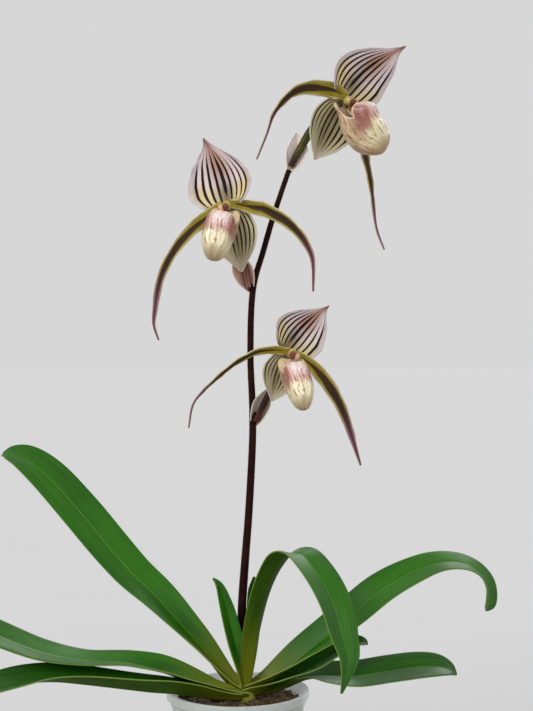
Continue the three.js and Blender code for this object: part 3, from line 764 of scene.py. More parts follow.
@dataclass(frozen=True)
class LeafFinish(Finish):
    """A waxy leaf: yellow-green root, green blade, faint midrib and edge, parallel veins."""

    root: str = "747a16"
    blade: str = "286605"
    deep: str = "184604"
    light: str = "64922c"
    edge: str = "93a44c"
    root_end: float = 0.28

    def paint(self, n: Nodes, cloud: Socket) -> tuple[object, object]:
        """Paint the blade, its root, veins, midrib and edge.

        Args:
            n: The material's nodes.
            cloud: Soft noise over the piece.

        Returns:
            The colour and the height.
        """
        uv, aside, along = n.blade_map()
        across = n.math("MULTIPLY_ADD", aside, 2.0, -1.0)
        off = n.math("ABSOLUTE", across)
        streaks = n.streaks(uv, (34.0, 1.8, 1.0))
        blotch = n.streaks(uv, (1.6, 3.0, 1.0), 4.0)
        green = n.wash(tint(self.blade), n.ease(blotch, 0.35, 0.7), 0.7, self.deep)
        green = n.wash(green, n.ease(streaks, 0.5, 0.8), 0.25, self.light)
        green = n.mix(n.ease(n.sway(blotch, 0.15, along), self.root_end, 0.0), green, tint(self.root))
        line = n.math("MULTIPLY", n.ease(off, 0.045, 0.012), n.ease(along, 0.98, 0.8))
        green = n.wash(green, line, 0.4, self.light)
        green = n.wash(green, n.ease(off, 0.965, 1.0), 0.5, self.edge)
        colour = n.shaded(green, cloud, (1.1, 1.08, 1.02, 1.0), (0.86, 0.88, 0.86, 1.0))
        veins = n.math("SINE", n.math("MULTIPLY", across, 80.0))
        return colour, n.math("MULTIPLY_ADD", veins, 0.12, n.math("MULTIPLY", streaks, 0.8))


@dataclass(frozen=True)
class LipFinish(Finish):
    """The pouch: rose above, red-brown at the sides, cream-yellow below, with running veins and a painted
    highlight on its front near the mouth.
    """

    cream: str = "faf1cc"
    rose: str = "c88c88"
    painted_highlight: str = "fff0ee"
    flank: str = "803a26"
    lobe: str = "d9c79c"
    shade: str = "ab9a58"
    vein: str = "74482c"
    under: str = "9c6850"
    rim: str = "e8d2aa"
    toe: str = "8a6434"
    lanes: float = 22.0

    def paint(self, n: Nodes, cloud: Socket) -> tuple[object, object]:
        """Paint the cream toe, the rose shoulders, the dark flanks, a painted highlight and the veins.

        Args:
            n: The material's nodes.
            cloud: Soft noise over the piece.

        Returns:
            The colour and the height.
        """
        _, round_share, along = n.blade_map()
        turn = n.math("ABSOLUTE", n.math("WRAP", round_share, -0.5, 0.5))
        angle = n.math("MULTIPLY", round_share, 2 * math.pi)
        values = {0: n.math("COSINE", angle), 1: n.math("SINE", angle), 2: along}
        ringed = n.add("ShaderNodeCombineXYZ", values).outputs[0]
        runs = n.streaks(ringed, (11.0, 11.0, 1.6))
        aside = n.ease(turn, 0.06, 0.15)
        level = n.sway(n.streaks(ringed, (3.0, 3.0, 2.0)), 0.3, along)
        level = n.math("MULTIPLY_ADD", aside, -0.02, n.sway(runs, 0.55, level))
        upper = n.ease(level, 0.6, 0.34)
        below = n.wash(tint(self.cream), aside, 0.3, self.shade)
        patchy = n.math("MULTIPLY", aside, n.math("MULTIPLY_ADD", n.ease(runs, 0.35, 0.6), 0.35, 0.6))
        warm = n.mix(patchy, tint(self.rose), tint(self.flank))
        warm = n.wash(warm, n.ease(runs, 0.5, 0.66), 0.45, self.flank)
        # Painted highlight: a near-white spot on the front of the pouch, from the mouth to near halfway
        # down.
        highlight_share = n.math("MULTIPLY", n.ease(turn, 0.12, 0.03), n.ease(along, 0.45, 0.2))
        warm = n.wash(warm, highlight_share, 0.9, self.painted_highlight)
        colour = n.mix(n.math("MULTIPLY", upper, 0.94), below, warm)
        colour = n.wash(colour, n.ease(turn, 0.22, 0.3), 0.85, self.lobe)
        sole = n.math("MULTIPLY", n.ease(turn, 0.3, 0.38), n.ease(along, 0.35, 0.6))
        colour = n.wash(colour, sole, 0.8, self.under)
        colour = n.wash(colour, n.ease(along, 0.72, 1.0), 0.75, self.toe)
        lines = self.vein_lines(n, ringed, round_share, along)
        ink = n.mix(upper, tint(self.vein), tint(self.flank))
        colour = n.mix(n.math("MULTIPLY", lines, 0.8), colour, ink)
        speck = n.ease(n.noise(n.place(), 620.0, 2.0), 0.56, 0.7)
        colour = n.wash(colour, n.math("MULTIPLY", speck, upper), 0.4, self.flank)
        colour = n.wash(colour, n.ease(along, 0.04, 0.0), 0.75, self.rim)
        colour = n.shaded(colour, cloud, (1.04, 1.04, 1.04, 1.0), (0.86, 0.84, 0.82, 1.0))
        return colour, n.math("MULTIPLY", lines, -0.5)

    def vein_lines(self, n: Nodes, ringed: object, round_share: object, along: object) -> Socket:
        """Draw veins that run from the mouth to the toe, with twigs between them.

        Args:
            n: The material's nodes.
            ringed: A place that closes on itself round the pouch.
            round_share: The share of the way round, from its front.
            along: From the mouth, 0, to the toe, 1.

        Returns:
            How dark the veins are.
        """
        drift = n.streaks(ringed, (2.4, 2.4, 2.6))
        lane = n.sway(drift, 3.2, n.math("MULTIPLY", round_share, self.lanes))
        off = n.apart(lane, n.math("ROUND", lane))
        bold = n.ease(n.streaks(ringed, (5.0, 5.0, 3.2), 2.0), 0.38, 0.62)
        wide = n.math("MULTIPLY_ADD", bold, 0.08, 0.035)
        vein = n.ease(off, n.math("ADD", wide, 0.07), n.math("SUBTRACT", wide, 0.05))
        vein = n.math("MULTIPLY", vein, n.math("MULTIPLY_ADD", bold, 0.4, 0.6))
        twigs = n.streaks(ringed, (6.2, 6.2, 3.4), 2.0, 0.5, 1.8)
        twig = n.math("MULTIPLY", n.ease(n.apart(twigs, 0.5), 0.03, 0.005), 0.6)
        return n.math("MULTIPLY", n.math("MAXIMUM", vein, twig), n.ease(along, 1.0, 0.7))


@dataclass(frozen=True)
class PlainFinish(Finish):
    """A surface of two colours that noise blends, with a third in patches."""

    low: str = "2a1a10"
    high: str = "5a4228"
    patch: str = "5a4228"
    patch_share: float = 0.0
    noise_scale: float = 90.0

    def paint(self, n: Nodes, cloud: Socket) -> tuple[object, object]:
        """Paint two blended colours and the patches.

        Args:
            n: The material's nodes.
            cloud: Soft noise over the piece.

        Returns:
            The colour and the height.
        """
        place = n.place()
        soft = n.noise(place, self.noise_scale, 5.0, 0.6)
        colour = n.mix(n.ease(soft, 0.3, 0.7), tint(self.low), tint(self.high))
        spots = n.ease(n.noise(place, self.noise_scale * 0.6), 0.5, 0.68)
        colour = n.wash(colour, spots, self.patch_share, self.patch)
        return colour, soft


@dataclass(frozen=True)
class RibbedFinish(PlainFinish):
    """A ribbed stalk: its two colours, dark lines in its grooves and a darker foot."""

    lines: float = 6.0
    line: str = "1a0806"
    foot: str = "a07464"
    foot_end: float = 0.4

    def paint(self, n: Nodes, cloud: Socket) -> tuple[object, object]:
        """Paint the plain colours, the foot and the lines.

        Args:
            n: The material's nodes.
            cloud: Soft noise over the piece.

        Returns:
            The colour and the height.
        """
        colour, soft = super().paint(n, cloud)
        _, round_share, along = n.blade_map()
        colour = n.wash(colour, n.ease(n.sway(soft, 0.3, along), self.foot_end, 0.0), 0.9, self.foot)
        lane = n.math("MULTIPLY", round_share, self.lines)
        groove = n.ease(n.apart(lane, n.math("ROUND", lane)), 0.14, 0.05)
        return n.wash(colour, groove, 0.8, self.line), n.math("SUBTRACT", soft, groove)


@dataclass(frozen=True)
class ShieldFinish(Finish):
    """The column's shield: peach, with a paler strip near its middle that is a painted highlight, and
    red-brown on its inner side.
    """

    peach: str = "d8a483"
    pale: str = "ecd2b4"
    patch: str = "6e3226"
    olive: str = "9a8c38"
    dark_side: float = 1.0

    def paint(self, n: Nodes, cloud: Socket) -> tuple[object, object]:
        """Paint the plate, its painted highlight along a ridge, its dark side and its olive root.

        Args:
            n: The material's nodes.
            cloud: Soft noise over the piece.

        Returns:
            The colour and the height.
        """
        uv, across, up = n.blade_map()
        ragged = n.streaks(uv, (5.0, 5.0, 1.0), 4.0)
        across = n.math("MULTIPLY_ADD", n.math("SUBTRACT", across, 0.5), self.dark_side, 0.5)
        # Painted highlight: a paler lengthwise strip near the middle of the plate.
        ridge = n.ease(n.apart(across, 0.36), 0.18, 0.02)
        colour = n.wash(tint(self.peach), ridge, 0.8, self.pale)
        colour = n.wash(colour, n.ease(n.sway(ragged, 0.4, across), 0.5, 0.58), 0.95, self.patch)
        colour = n.wash(colour, n.ease(up, 0.7, 0.95), 0.6, self.olive)
        return colour, n.math("MULTIPLY", ragged, 0.4)


@dataclass(frozen=True)
class PotFinish(PlainFinish):
    """Thin translucent plastic, moulded with faint flow lines and scuffs."""

    clear: float = 0.35
    ior: float = 1.49

    def adjust(self, surface: bpy.types.Node) -> None:
        """Let light through the plastic."""
        surface.inputs["Transmission Weight"].default_value = self.clear
        surface.inputs["IOR"].default_value = self.ior


LEAF_GREEN = LeafFinish("leaf_top", roughness=0.36, specular=0.2, coat=0.04, bump=0.2, flesh=0.03)
# The leaves' undersides: their own olive green, darkened further as painted shade on the side that faces
# down.
LEAF_UNDER_SHADED = LeafFinish(
    "leaf_under_shaded", roughness=0.6, specular=0.05, bump=0.2, blade="31500a", deep="203a08", root="62680f",
    light="587020",
)
LEAF_DARK = LeafFinish(
    "leaf_dark", roughness=0.34, specular=0.3, coat=0.1, blade="1f5608", deep="123a06", root="56681a",
    root_end=0.2,
)
DORSAL = StripedFinish(
    "dorsal_sepal_face", roughness=0.5, specular=0.2, flesh=0.08, count=10.2, width=0.21, start=-0.04,
    end=0.98, bold=0.55, uneven=0.55, root="6e5c30", base="e2d096", belly="f2e2e4", glow="b87e5c",
    tip="a67c74", rim="d2cad0", stripe="1a040a", heart=0.65, hem_share=0.5, tip_start=0.8,
)
DORSAL_BACK = StripedFinish(
    "dorsal_sepal_back", roughness=0.55, specular=0.2, flesh=0.08, count=10.2, width=0.17, start=-0.04,
    end=0.97, bold=0.4, root="8c8450", base="d8d0a4", belly="dfcdca", glow="c9a096", tip="a88480",
    rim="c9c6ca", stripe="3c141c", stripe_share=0.85, heart=0.4, hem_share=0.3, tip_start=0.8,
)
VENTRAL = StripedFinish(
    "ventral_sepal_face", roughness=0.5, specular=0.2, flesh=0.08, count=9.4, width=0.2, start=-0.04,
    end=0.98, uneven=0.7, root="8a8050", base="d4c99c", belly="c4ba98", glow="948860", tip="c6b4a4",
    rim="c9cab0", stripe="22100c", heart=0.7,
)
VENTRAL_BACK = StripedFinish(
    "ventral_sepal_back", roughness=0.55, specular=0.2, flesh=0.08, count=9.4, width=0.17, start=-0.04,
    end=0.98, root="8f8c58", base="c3bb94", belly="b6af94", glow="948c6a", tip="b8a898", rim="c3c6ae",
    stripe="3c241a", stripe_share=0.85,
)
PETAL = StripedFinish(
    "petal_face", roughness=0.45, specular=0.2, flesh=0.06, count=9.4, width=0.2, start=-0.1, end=1.05,
    wander=0.3, dots=0.3, root="aa9628", base="a8951c", belly="a8983c", glow="807420", tip="6a4048",
    rim="d9d0a0", rim_start=0.6, stripe="3c220c", stripe_share=0.85, band=0.6, band_colour="280a07",
    band_start=0.0, tail_rim="a07a82", tail_share=0.9, heart=0.7,
)
PETAL_BACK = StripedFinish(
    "petal_back", roughness=0.5, specular=0.25, flesh=0.06, count=13.0, width=0.14, start=-0.1, end=1.05,
    wander=0.3, dots=0.3, root="8a8430", base="8f8838", belly="a09650", glow="8a8244", tip="704a50",
    rim="c9c28e", stripe="4c3420", stripe_share=0.7, band=0.36, band_colour="4a241c", band_start=0.05,
    tail="6c4450", tail_share=0.8, heart=0.7,
)
BRACT = StripedFinish(
    "bract_face", roughness=0.55, specular=0.2, flesh=0.1, count=9.0, width=0.18, start=0.0, end=1.0,
    uneven=0.8, root="8c5444", base="bc8470", belly="d09c88", glow="c08c78", tip="cca496", rim="ecd8ce",
    stripe="e8d4c8", stripe_share=0.75, heart=0.3,
)
BRACT_PALE = StripedFinish(
    "bract_pale_face", roughness=0.55, specular=0.2, flesh=0.1, count=12.0, width=0.12, start=0.0,
    end=1.0, uneven=0.8, root="b4a080", base="ecdccc", belly="faf0ec", glow="f0dad6", tip="e8d8d0",
    rim="f2ece6", stripe="a8606c", stripe_share=0.7, heart=0.3,
)
BRACT_GREY = StripedFinish(
    "bract_grey_face", roughness=0.55, specular=0.2, flesh=0.1, count=10.0, width=0.16, start=0.0,
    end=1.0, uneven=0.8, root="8c7660", base="cfc2a8", belly="e4dac6", glow="c0b096", tip="d4c8b0",
    rim="e0dac8", stripe="5c3c2c", stripe_share=0.75, heart=0.3,
)
LIP = LipFinish("lip_skin", roughness=0.34, specular=0.4, coat=0.25, flesh=0.08, bump=0.15)
LIP_LINING = PlainFinish("lip_lining", roughness=0.45, flesh=0.2, low="c9a08c", high="e2cfae")
COLUMN = PlainFinish(
    "column_skin", roughness=0.4, flesh=0.2, low="a89a3c", high="d6c88c", patch="8a4a34", patch_share=0.5,
    noise_scale=220.0,
)
SHIELD = ShieldFinish("shield_skin", roughness=0.4, specular=0.3, flesh=0.1)
SHIELD_MIRRORED = ShieldFinish(
    "shield_skin_mirrored", roughness=0.4, specular=0.3, flesh=0.1, dark_side=-1.0
)
STEM = PlainFinish(
    "stem_skin", roughness=0.6, specular=0.08, low="160403", high="2c0d07", patch="34180a",
    patch_share=0.5,
)
OVARY = RibbedFinish(
    "ovary_skin", roughness=0.55, specular=0.25, low="2c0c0a", high="4a1c14", patch="5c3020",
    patch_share=0.4,
)
DARK_OVARY = RibbedFinish(
    "dark_ovary_skin", roughness=0.55, specular=0.25, low="1e0a08", high="34130e", patch="4a2418",
    patch_share=0.4, foot="5c2416", foot_end=0.3,
)
GREEN_OVARY = RibbedFinish(
    "green_ovary_skin", roughness=0.5, specular=0.25, low="484a10", high="6e7022", patch="3c2c12",
    patch_share=0.4, noise_scale=70.0, lines=3.0, foot="2a160c", foot_end=0.6,
)
HAIR = PlainFinish(
    "fine_hair", roughness=0.7, specular=0.1, low="28110f", high="4c2c26", noise_scale=300.0
)
SHOOT = PlainFinish(
    "shoot_skin", roughness=0.4, low="7f8024", high="a8a23c", patch="5c6a24", patch_share=0.5
)
BARK = PlainFinish(
    "bark", roughness=0.9, bump=1.0, low="1c120a", high="54391f", patch="8a7448", patch_share=0.4,
    noise_scale=160.0,
)
MOSS = PlainFinish("moss", roughness=0.9, bump=0.5, low="5a5220", high="8f8440", noise_scale=120.0)
SOIL = PlainFinish("medium_bed", roughness=0.95, bump=1.0, low="150e08", high="3a2c18", noise_scale=140.0)
PLASTIC = PotFinish(
    "pot_plastic", roughness=0.3, bump=0.05, low="868e8b", high="a2aaa7", patch="757d7a", patch_share=0.4,
    noise_scale=40.0, clear=0.5,
)
PALE_FLOOR = PlainFinish(
    "pale_floor", roughness=0.9, specular=0.1, bump=0.0, low="cdcdcd", high="cecece", noise_scale=3.0
)


class Skin:
    """Makes tubes and closed shells from rings of points."""

    SEAM = 1e-7

    @staticmethod
    def between(rings: list[list[Vector]], sides: int) -> EditMesh:
        """Stretch a grid over rings and join its two edges.

        Args:
            rings: The rings' points in order, each with one point per side.
            sides: The number of points in a ring.

        Returns:
            The mesh in metres, open at its first and last ring.
        """
        mesh = bmesh.new()
        layer = mesh.loops.layers.uv.new(UV_NAME)
        rows = len(rings) - 1
        bmesh.ops.create_grid(mesh, x_segments=sides, y_segments=rows, size=1.0)
        spots = {}
        for vertex in mesh.verts:
            spots[vertex] = (round((vertex.co.x + 1) / 2 * sides), round((vertex.co.y + 1) / 2 * rows))
        for face in mesh.faces:
            for loop in face.loops:
                column, row = spots[loop.vert]
                loop[layer].uv = (column / sides, row / rows)
        for vertex, (column, row) in spots.items():
            vertex.co = rings[row][column % sides] * MM
        bmesh.ops.remove_doubles(mesh, verts=mesh.verts, dist=Skin.SEAM)
        return mesh

    @staticmethod
    def closed(rings: list[list[Vector]], sides: int) -> EditMesh:
        """Stretch a skin over rings and fill both ends.

        Args:
            rings: The rings' points, each with one point per side.
            sides: The number of points in a ring.

        Returns:
            The closed mesh, in metres.
        """
        mesh = Skin.between(rings, sides)
        bmesh.ops.holes_fill(mesh, edges=[edge for edge in mesh.edges if edge.is_boundary], sides=0)
        bmesh.ops.recalc_face_normals(mesh, faces=mesh.faces)
        return mesh


def merge_into(target: EditMesh, extra: EditMesh) -> None:
    """Add one mesh to another.

    Args:
        target: The mesh that grows.
        extra: The mesh that is added, which is freed.
    """
    data = settle("join", extra)
    target.from_mesh(data)
    bpy.data.meshes.remove(data)


@dataclass
class Stalk:
    """A round stalk along a curve. A station is a place and a radius, in millimetres."""

    stations: list[Station]
    sides: int = 20
    rows: int = 60
    ribs: int = 0
    rib_depth: float = 0.0
    swell: float = 0.0

    RIB_TWIST = 2.0
    SWELLS = 9

    def __post_init__(self) -> None:
        """Lay the curves through the stations."""
        self.path = Spline(row[:3] for row in self.stations)
        self.radii = Spline((row[3], 0, 0) for row in self.stations)

    def frame_at(self, along: float) -> tuple[Vector, Vector, Vector, float]:
        """Find the stalk's section at a share of its way.

        Args:
            along: From its foot, 0, to its end, 1.

        Returns:
            The middle, two square directions and the radius.
        """
        heading = self.path.heading(along)
        side = reject(Vector((0, -1, 0)), heading)
        return self.path.at(along), side, side.cross(heading), self.radii.at(along).x

    def surface(self, along: float, angle: float) -> tuple[Vector, Vector]:
        """Find a point of the skin, in millimetres.

        Args:
            along: From its foot, 0, to its end, 1.
            angle: Round the stalk from its front, in radians.

        Returns:
            The point and the way out from it.
        """
        centre, side, normal, radius = self.frame_at(along)
        out = normal * math.sin(angle) - side * math.cos(angle)
        rib = self.rib_depth * math.cos(self.ribs * angle + self.RIB_TWIST * along)
        bulge = self.swell * noise.noise(Vector((along * self.SWELLS, self.sides, 0)))
        return centre + out * (radius + rib + bulge), out

    def mesh(self) -> EditMesh:
        """Make the closed stalk.

        Returns:
            The mesh, in metres.
        """
        angles = angles_round(self.sides)
        rings = []
        for row in range(self.rows + 1):
            rings.append([self.surface(row / self.rows, angle)[0] for angle in angles])
        return Skin.closed(rings, self.sides)


@dataclass
class Hairs:
    """Short hairs that stand out from a skin, each a slim three-sided spike."""

    length: float
    radius: float
    seed: int
    lean: float = 0.35
    shortest: float = 0.5
    middle: float = 0.45

    def grow(self, mesh: EditMesh, spots: Iterable[tuple[Vector, Vector]]) -> None:
        """Add a hair at every spot.

        Args:
            mesh: The mesh that they are added to.
            spots: The root and the way out of each hair, in millimetres.
        """
        dice = random.Random(self.seed)
        for root, out in spots:
            tilt = Vector((dice.uniform(-1, 1), dice.uniform(-1, 1), dice.uniform(-1, 1))) * self.lean
            way = (out + tilt).normalized()
            length = self.length * dice.uniform(self.shortest, 1.0)
            place = Matrix.Translation((root + way * length * self.middle) * MM)
            turn = way.to_track_quat("Z", "Y").to_matrix().to_4x4()
            bmesh.ops.create_cone(
                mesh, segments=3, radius1=self.radius * MM, radius2=0, depth=length * MM,
                matrix=place @ turn,
            )


def egg(place: Triple, radii: Triple) -> Matrix:
    """Give the matrix that turns a unit ball into an egg, from millimetres."""
    return Matrix.Translation(Vector(place) * MM) @ Matrix.Diagonal((*(Vector(radii) * MM), 1))


@dataclass
class Pot:
    """The nursery pot: a tapered thin wall with a rolled rim, beads and drain holes."""

    height: float = 110
    rim_radius: float = 60
    foot_radius: float = 44
    wall: float = 1.2
    floor: float = 2
    sides: int = 128
    rim_height: float = 7
    rim_lip: float = 2.6
    rim_round: float = 1.2
    beads: int = 2
    bead: float = 0.8
    bead_pitch: float = 2.4
    drain_holes: int = 6
    drain_radius: float = 4
    drain_circle: float = 30
    nub_place: Triple = (6.9, -58.9, 109.6)
    nub_radii: Triple = (1.8, 1.1, 0.9)
    foot_round: float = 2
    bead_arc: float = 60
    bead_shoulder: float = 1
    edge_round: float = 0.6
    edge_shift: float = 0.3
    arc_steps: int = 5

    def wall_radius(self, height: float) -> float:
        """Find the outer radius of the tapered wall at a height."""
        return mix(self.foot_radius, self.rim_radius - self.rim_lip, height / self.height)

    def arc(self, centre: Pair, radius: float, start: float, end: float) -> list[Pair]:
        """List the points of a round corner.

        Args:
            centre: Its middle, as radius and height.
            radius: Its own radius.
            start: The first direction in degrees.
            end: The last direction in degrees.

        Returns:
            The points, as radius and height.
        """
        angles = [math.radians(mix(start, end, k / self.arc_steps)) for k in range(self.arc_steps + 1)]
        return [(centre[0] + radius * math.cos(a), centre[1] + radius * math.sin(a)) for a in angles]

    def profile(self) -> list[Pair]:
        """List the wall's section.

        Returns:
            Radius and height from the middle of the foot, over the rim, to the middle of the floor.
        """
        foot, bend, edge = self.foot_round, self.rim_round, self.edge_round
        points = [(0.0, 0.0), *self.arc((self.foot_radius - foot, foot), foot, -90, 0)]
        under_rim = self.height - self.rim_height
        for k in range(self.beads, 0, -1):
            height = under_rim - k * self.bead_pitch
            below, above = height - self.bead_shoulder, height + self.bead_shoulder
            points.append((self.wall_radius(below), below))
            middle = (self.wall_radius(height), height)
            points += self.arc(middle, self.bead, -self.bead_arc, self.bead_arc)
            points.append((self.wall_radius(above), above))
        points.append((self.wall_radius(under_rim), under_rim))
        points += self.arc((self.rim_radius - bend, under_rim + bend), bend, -90, 0)
        points += self.arc((self.rim_radius - bend, self.height - bend), bend, 0, 90)
        inner_rim = self.rim_radius - self.rim_lip - self.wall + self.edge_shift
        points += self.arc((inner_rim + edge, self.height - edge), edge, 90, 180)
        points.append((self.wall_radius(under_rim) - self.wall, under_rim))
        points.append((self.wall_radius(self.floor) - self.wall, self.floor))
        points.append((0.0, self.floor))
        return points

    def build(self) -> None:
        """Spin the section, open the drain holes and dress the pot."""
        mesh = bmesh.new()
        corners = [mesh.verts.new((r * MM, 0, z * MM)) for r, z in self.profile()]
        edges = [mesh.edges.new(pair) for pair in zip(corners, corners[1:])]
        bmesh.ops.spin(
            mesh, geom=corners + edges, cent=(0, 0, 0), axis=(0, 0, 1), dvec=(0, 0, 0),
            angle=2 * math.pi, steps=self.sides, use_merge=True,
        )
        bmesh.ops.remove_doubles(mesh, verts=mesh.verts, dist=WELD)
        bmesh.ops.recalc_face_normals(mesh, faces=mesh.faces)
        piece = publish("nursery_pot", mesh, [PLASTIC], "pot_plastic", ("pot",))
        self.drill(piece)
        nub = bmesh.new()
        bmesh.ops.create_uvsphere(
            nub, u_segments=16, v_segments=10, radius=1, matrix=egg(self.nub_place, self.nub_radii)
        )
        publish("pot_moulding_nub", nub, [PLASTIC], "pot_plastic")

    def drill(self, piece: bpy.types.Object) -> None:
        """Cut the drain holes through the floor.

        Args:
            piece: The pot.
        """
        drills = bmesh.new()
        for angle in angles_round(self.drain_holes):
            place = Vector((math.cos(angle), math.sin(angle), 0)) * self.drain_circle * MM
            bmesh.ops.create_cone(
                drills, cap_ends=True, segments=24, radius1=self.drain_radius * MM,
                radius2=self.drain_radius * MM, depth=4 * self.floor * MM,
                matrix=Matrix.Translation(place),
            )
        data = settle("drills", drills)
        tool = stand("drills", data)
        cut = piece.modifiers.new("drain", "BOOLEAN")
        cut.operation = "DIFFERENCE"
        cut.solver = "EXACT"
        cut.object = tool
        graph = bpy.context.evaluated_depsgraph_get()
        drilled = bpy.data.meshes.new_from_object(piece.evaluated_get(graph))
        piece.modifiers.remove(cut)
        piece.data = drilled
        bpy.data.objects.remove(tool)
        bpy.data.meshes.remove(data)


@dataclass
class Medium:
    """The growing medium: a dark bed with bark chips and moss on top."""

    top: float = 99
    radius: float = 54
    floor_radius: float = 42.4
    floor: float = 2.4
    bump: float = 1.2
    bump_size: float = 9
    grit_size: float = 3
    edge_drop: float = 3
    edge_gap: float = 0.6
    edge_sink: float = 1.5
    rings: int = 44
    floor_rings: int = 4
    wall_rings: int = 8
    sides: int = 96
    chips: int = 330
    chip_halves: tuple[Pair, Pair, Pair] = ((2.5, 6), (1.5, 3.5), (0.7, 1.6))
    chip_rise: float = 0.4
    chip_tilt: float = 0.4
    chip_wear: float = 0.5
    chip_bevel: float = 0.35
    chip_margin: float = 5.5
    strands: int = 1500
    strand_radius: float = 0.32
    strand_lengths: Pair = (3, 6.5)
    strand_rises: Pair = (0.15, 0.7)
    strand_sags: Pair = (-0.9, 0.1)
    strand_curl: float = 1.6
    strand_taper: float = 0.8
    strand_steps: int = 4
    strand_margin: float = 1.5
    seed: int = 11

    def height(self, x: float, y: float) -> float:
        """Find the bed's height.

        Args:
            x: The place to the right.
            y: The place to the back.

        Returns:
            The height in millimetres.
        """
        soft = noise.noise(Vector((x / self.bump_size, y / self.bump_size, 0)))
        soft += 0.5 * noise.noise(Vector((x / self.grit_size, y / self.grit_size, 4)))
        return self.top + self.bump * soft

    def build(self) -> None:
        """Make the bed, the chips and the moss."""
        self.bed()
        self.bark()
        self.moss()

    def bed(self) -> None:
        """Make the dark bed that fills the pot."""
        wall_top = self.top - self.edge_drop
        steps = self.floor_rings
        levels = [(self.floor_radius * k / steps, self.floor) for k in range(1, steps + 1)]
        for k in range(1, self.wall_rings + 1):
            share = k / self.wall_rings
            levels.append((mix(self.floor_radius, self.radius, share), mix(self.floor, wall_top, share)))
        angles = angles_round(self.sides)
        rings = []
        for radius, height in levels:
            rings.append([Vector((radius * math.cos(a), radius * math.sin(a), height)) for a in angles])
        for ring in range(self.rings):
            radius = (self.radius - self.edge_gap) * (1 - ring / self.rings)
            sink = 0 if ring else self.edge_sink
            points = []
            for angle in angles:
                x, y = radius * math.cos(angle), radius * math.sin(angle)
                points.append(Vector((x, y, self.height(x, y) - sink)))
            rings.append(points)
        mesh = Skin.closed(rings, self.sides)
        publish("growing_medium_bed", mesh, [SOIL], "bark_and_moss", ("growing_medium",))

    def scatter(self, dice: random.Random, margin: float) -> Vector:
        """Draw a place on the bed.

        Args:
            dice: The source of the draw.
            margin: How far it stays from the edge.

        Returns:
            The place in millimetres.
        """
        reach = (self.radius - margin) * math.sqrt(dice.random())
        bearing = dice.uniform(0, 2 * math.pi)
        x, y = reach * math.cos(bearing), reach * math.sin(bearing)
        return Vector((x, y, self.height(x, y)))

    @staticmethod
    def draw_way(dice: random.Random, rises: Pair) -> Vector:
        """Draw a direction that goes any way across and up by a limited amount."""
        return Vector((dice.uniform(-1, 1), dice.uniform(-1, 1), dice.uniform(*rises)))

    def bark(self) -> None:
        """Scatter angular bark chips over the bed."""
        dice = random.Random(self.seed)
        mesh = bmesh.new()
        lean = self.chip_tilt
        for _ in range(self.chips):
            spot = self.scatter(dice, self.chip_margin)
            size = Vector([dice.uniform(*halves) for halves in self.chip_halves])
            spot.z += size.z * self.chip_rise
            turn = Matrix.Rotation(dice.uniform(0, math.pi), 4, "Z")
            turn = turn @ Matrix.Rotation(dice.uniform(-lean, lean), 4, "X")
            turn = turn @ Matrix.Rotation(dice.uniform(-lean, lean), 4, "Y")
            place = Matrix.Translation(spot * MM) @ turn @ Matrix.Diagonal((*(size * MM), 1))
            made = bmesh.ops.create_cube(mesh, size=2.0, matrix=place)
            for vertex in made["verts"]:
                wear = [dice.uniform(-self.chip_wear, self.chip_wear) for _ in range(3)]
                vertex.co += Vector(wear) * MM
            edges = dict.fromkeys(edge for vertex in made["verts"] for edge in vertex.link_edges)
            bmesh.ops.bevel(
                mesh, geom=list(edges), offset=self.chip_bevel * MM, offset_type="OFFSET", affect="EDGES",
                segments=1, profile=0.5, material=-1,
            )
        publish("bark_chips", mesh, [BARK], "bark_and_moss")

    def moss(self) -> None:
        """Scatter short curled moss strands between the chips."""
        dice = random.Random(self.seed + 1)
        mesh = bmesh.new()
        for _ in range(self.strands):
            root = self.scatter(dice, self.strand_margin)
            way = self.draw_way(dice, self.strand_rises).normalized()
            curl = self.draw_way(dice, self.strand_sags) * self.strand_curl
            length = dice.uniform(*self.strand_lengths)
            stations = []
            for k in range(self.strand_steps + 1):
                t = k / self.strand_steps
                spot = root + way * length * t + curl * t * t
                stations.append((*spot, self.strand_radius * (1 - self.strand_taper * t)))
            merge_strand(mesh, stations)
        publish("moss_strands", mesh, [MOSS], "bark_and_moss")


STRAND_UP = Vector((0.3, 0.2, 1))


def merge_strand(mesh: EditMesh, stations: list[Station]) -> None:
    """Add a slim three-sided strand by extruding a small triangle along stations.

    Args:
        mesh: The mesh that it is added to.
        stations: Places and radii in millimetres.
    """
    angles = angles_round(3)
    ring = None
    for index, (x, y, z, radius) in enumerate(stations):
        centre = Vector((x, y, z))
        nearby = stations[index + 1] if index + 1 < len(stations) else stations[index - 1]
        heading = (Vector(nearby[:3]) - centre).normalized()
        side = reject(STRAND_UP, heading)
        normal = side.cross(heading)
        spots = [centre + (side * math.cos(a) + normal * math.sin(a)) * radius for a in angles]
        fresh = [mesh.verts.new(spot * MM) for spot in spots]
        if ring:
            for k in range(3):
                mesh.faces.new((ring[k], ring[(k + 1) % 3], fresh[(k + 1) % 3], fresh[k]))
        ring = fresh
    mesh.faces.new(ring)


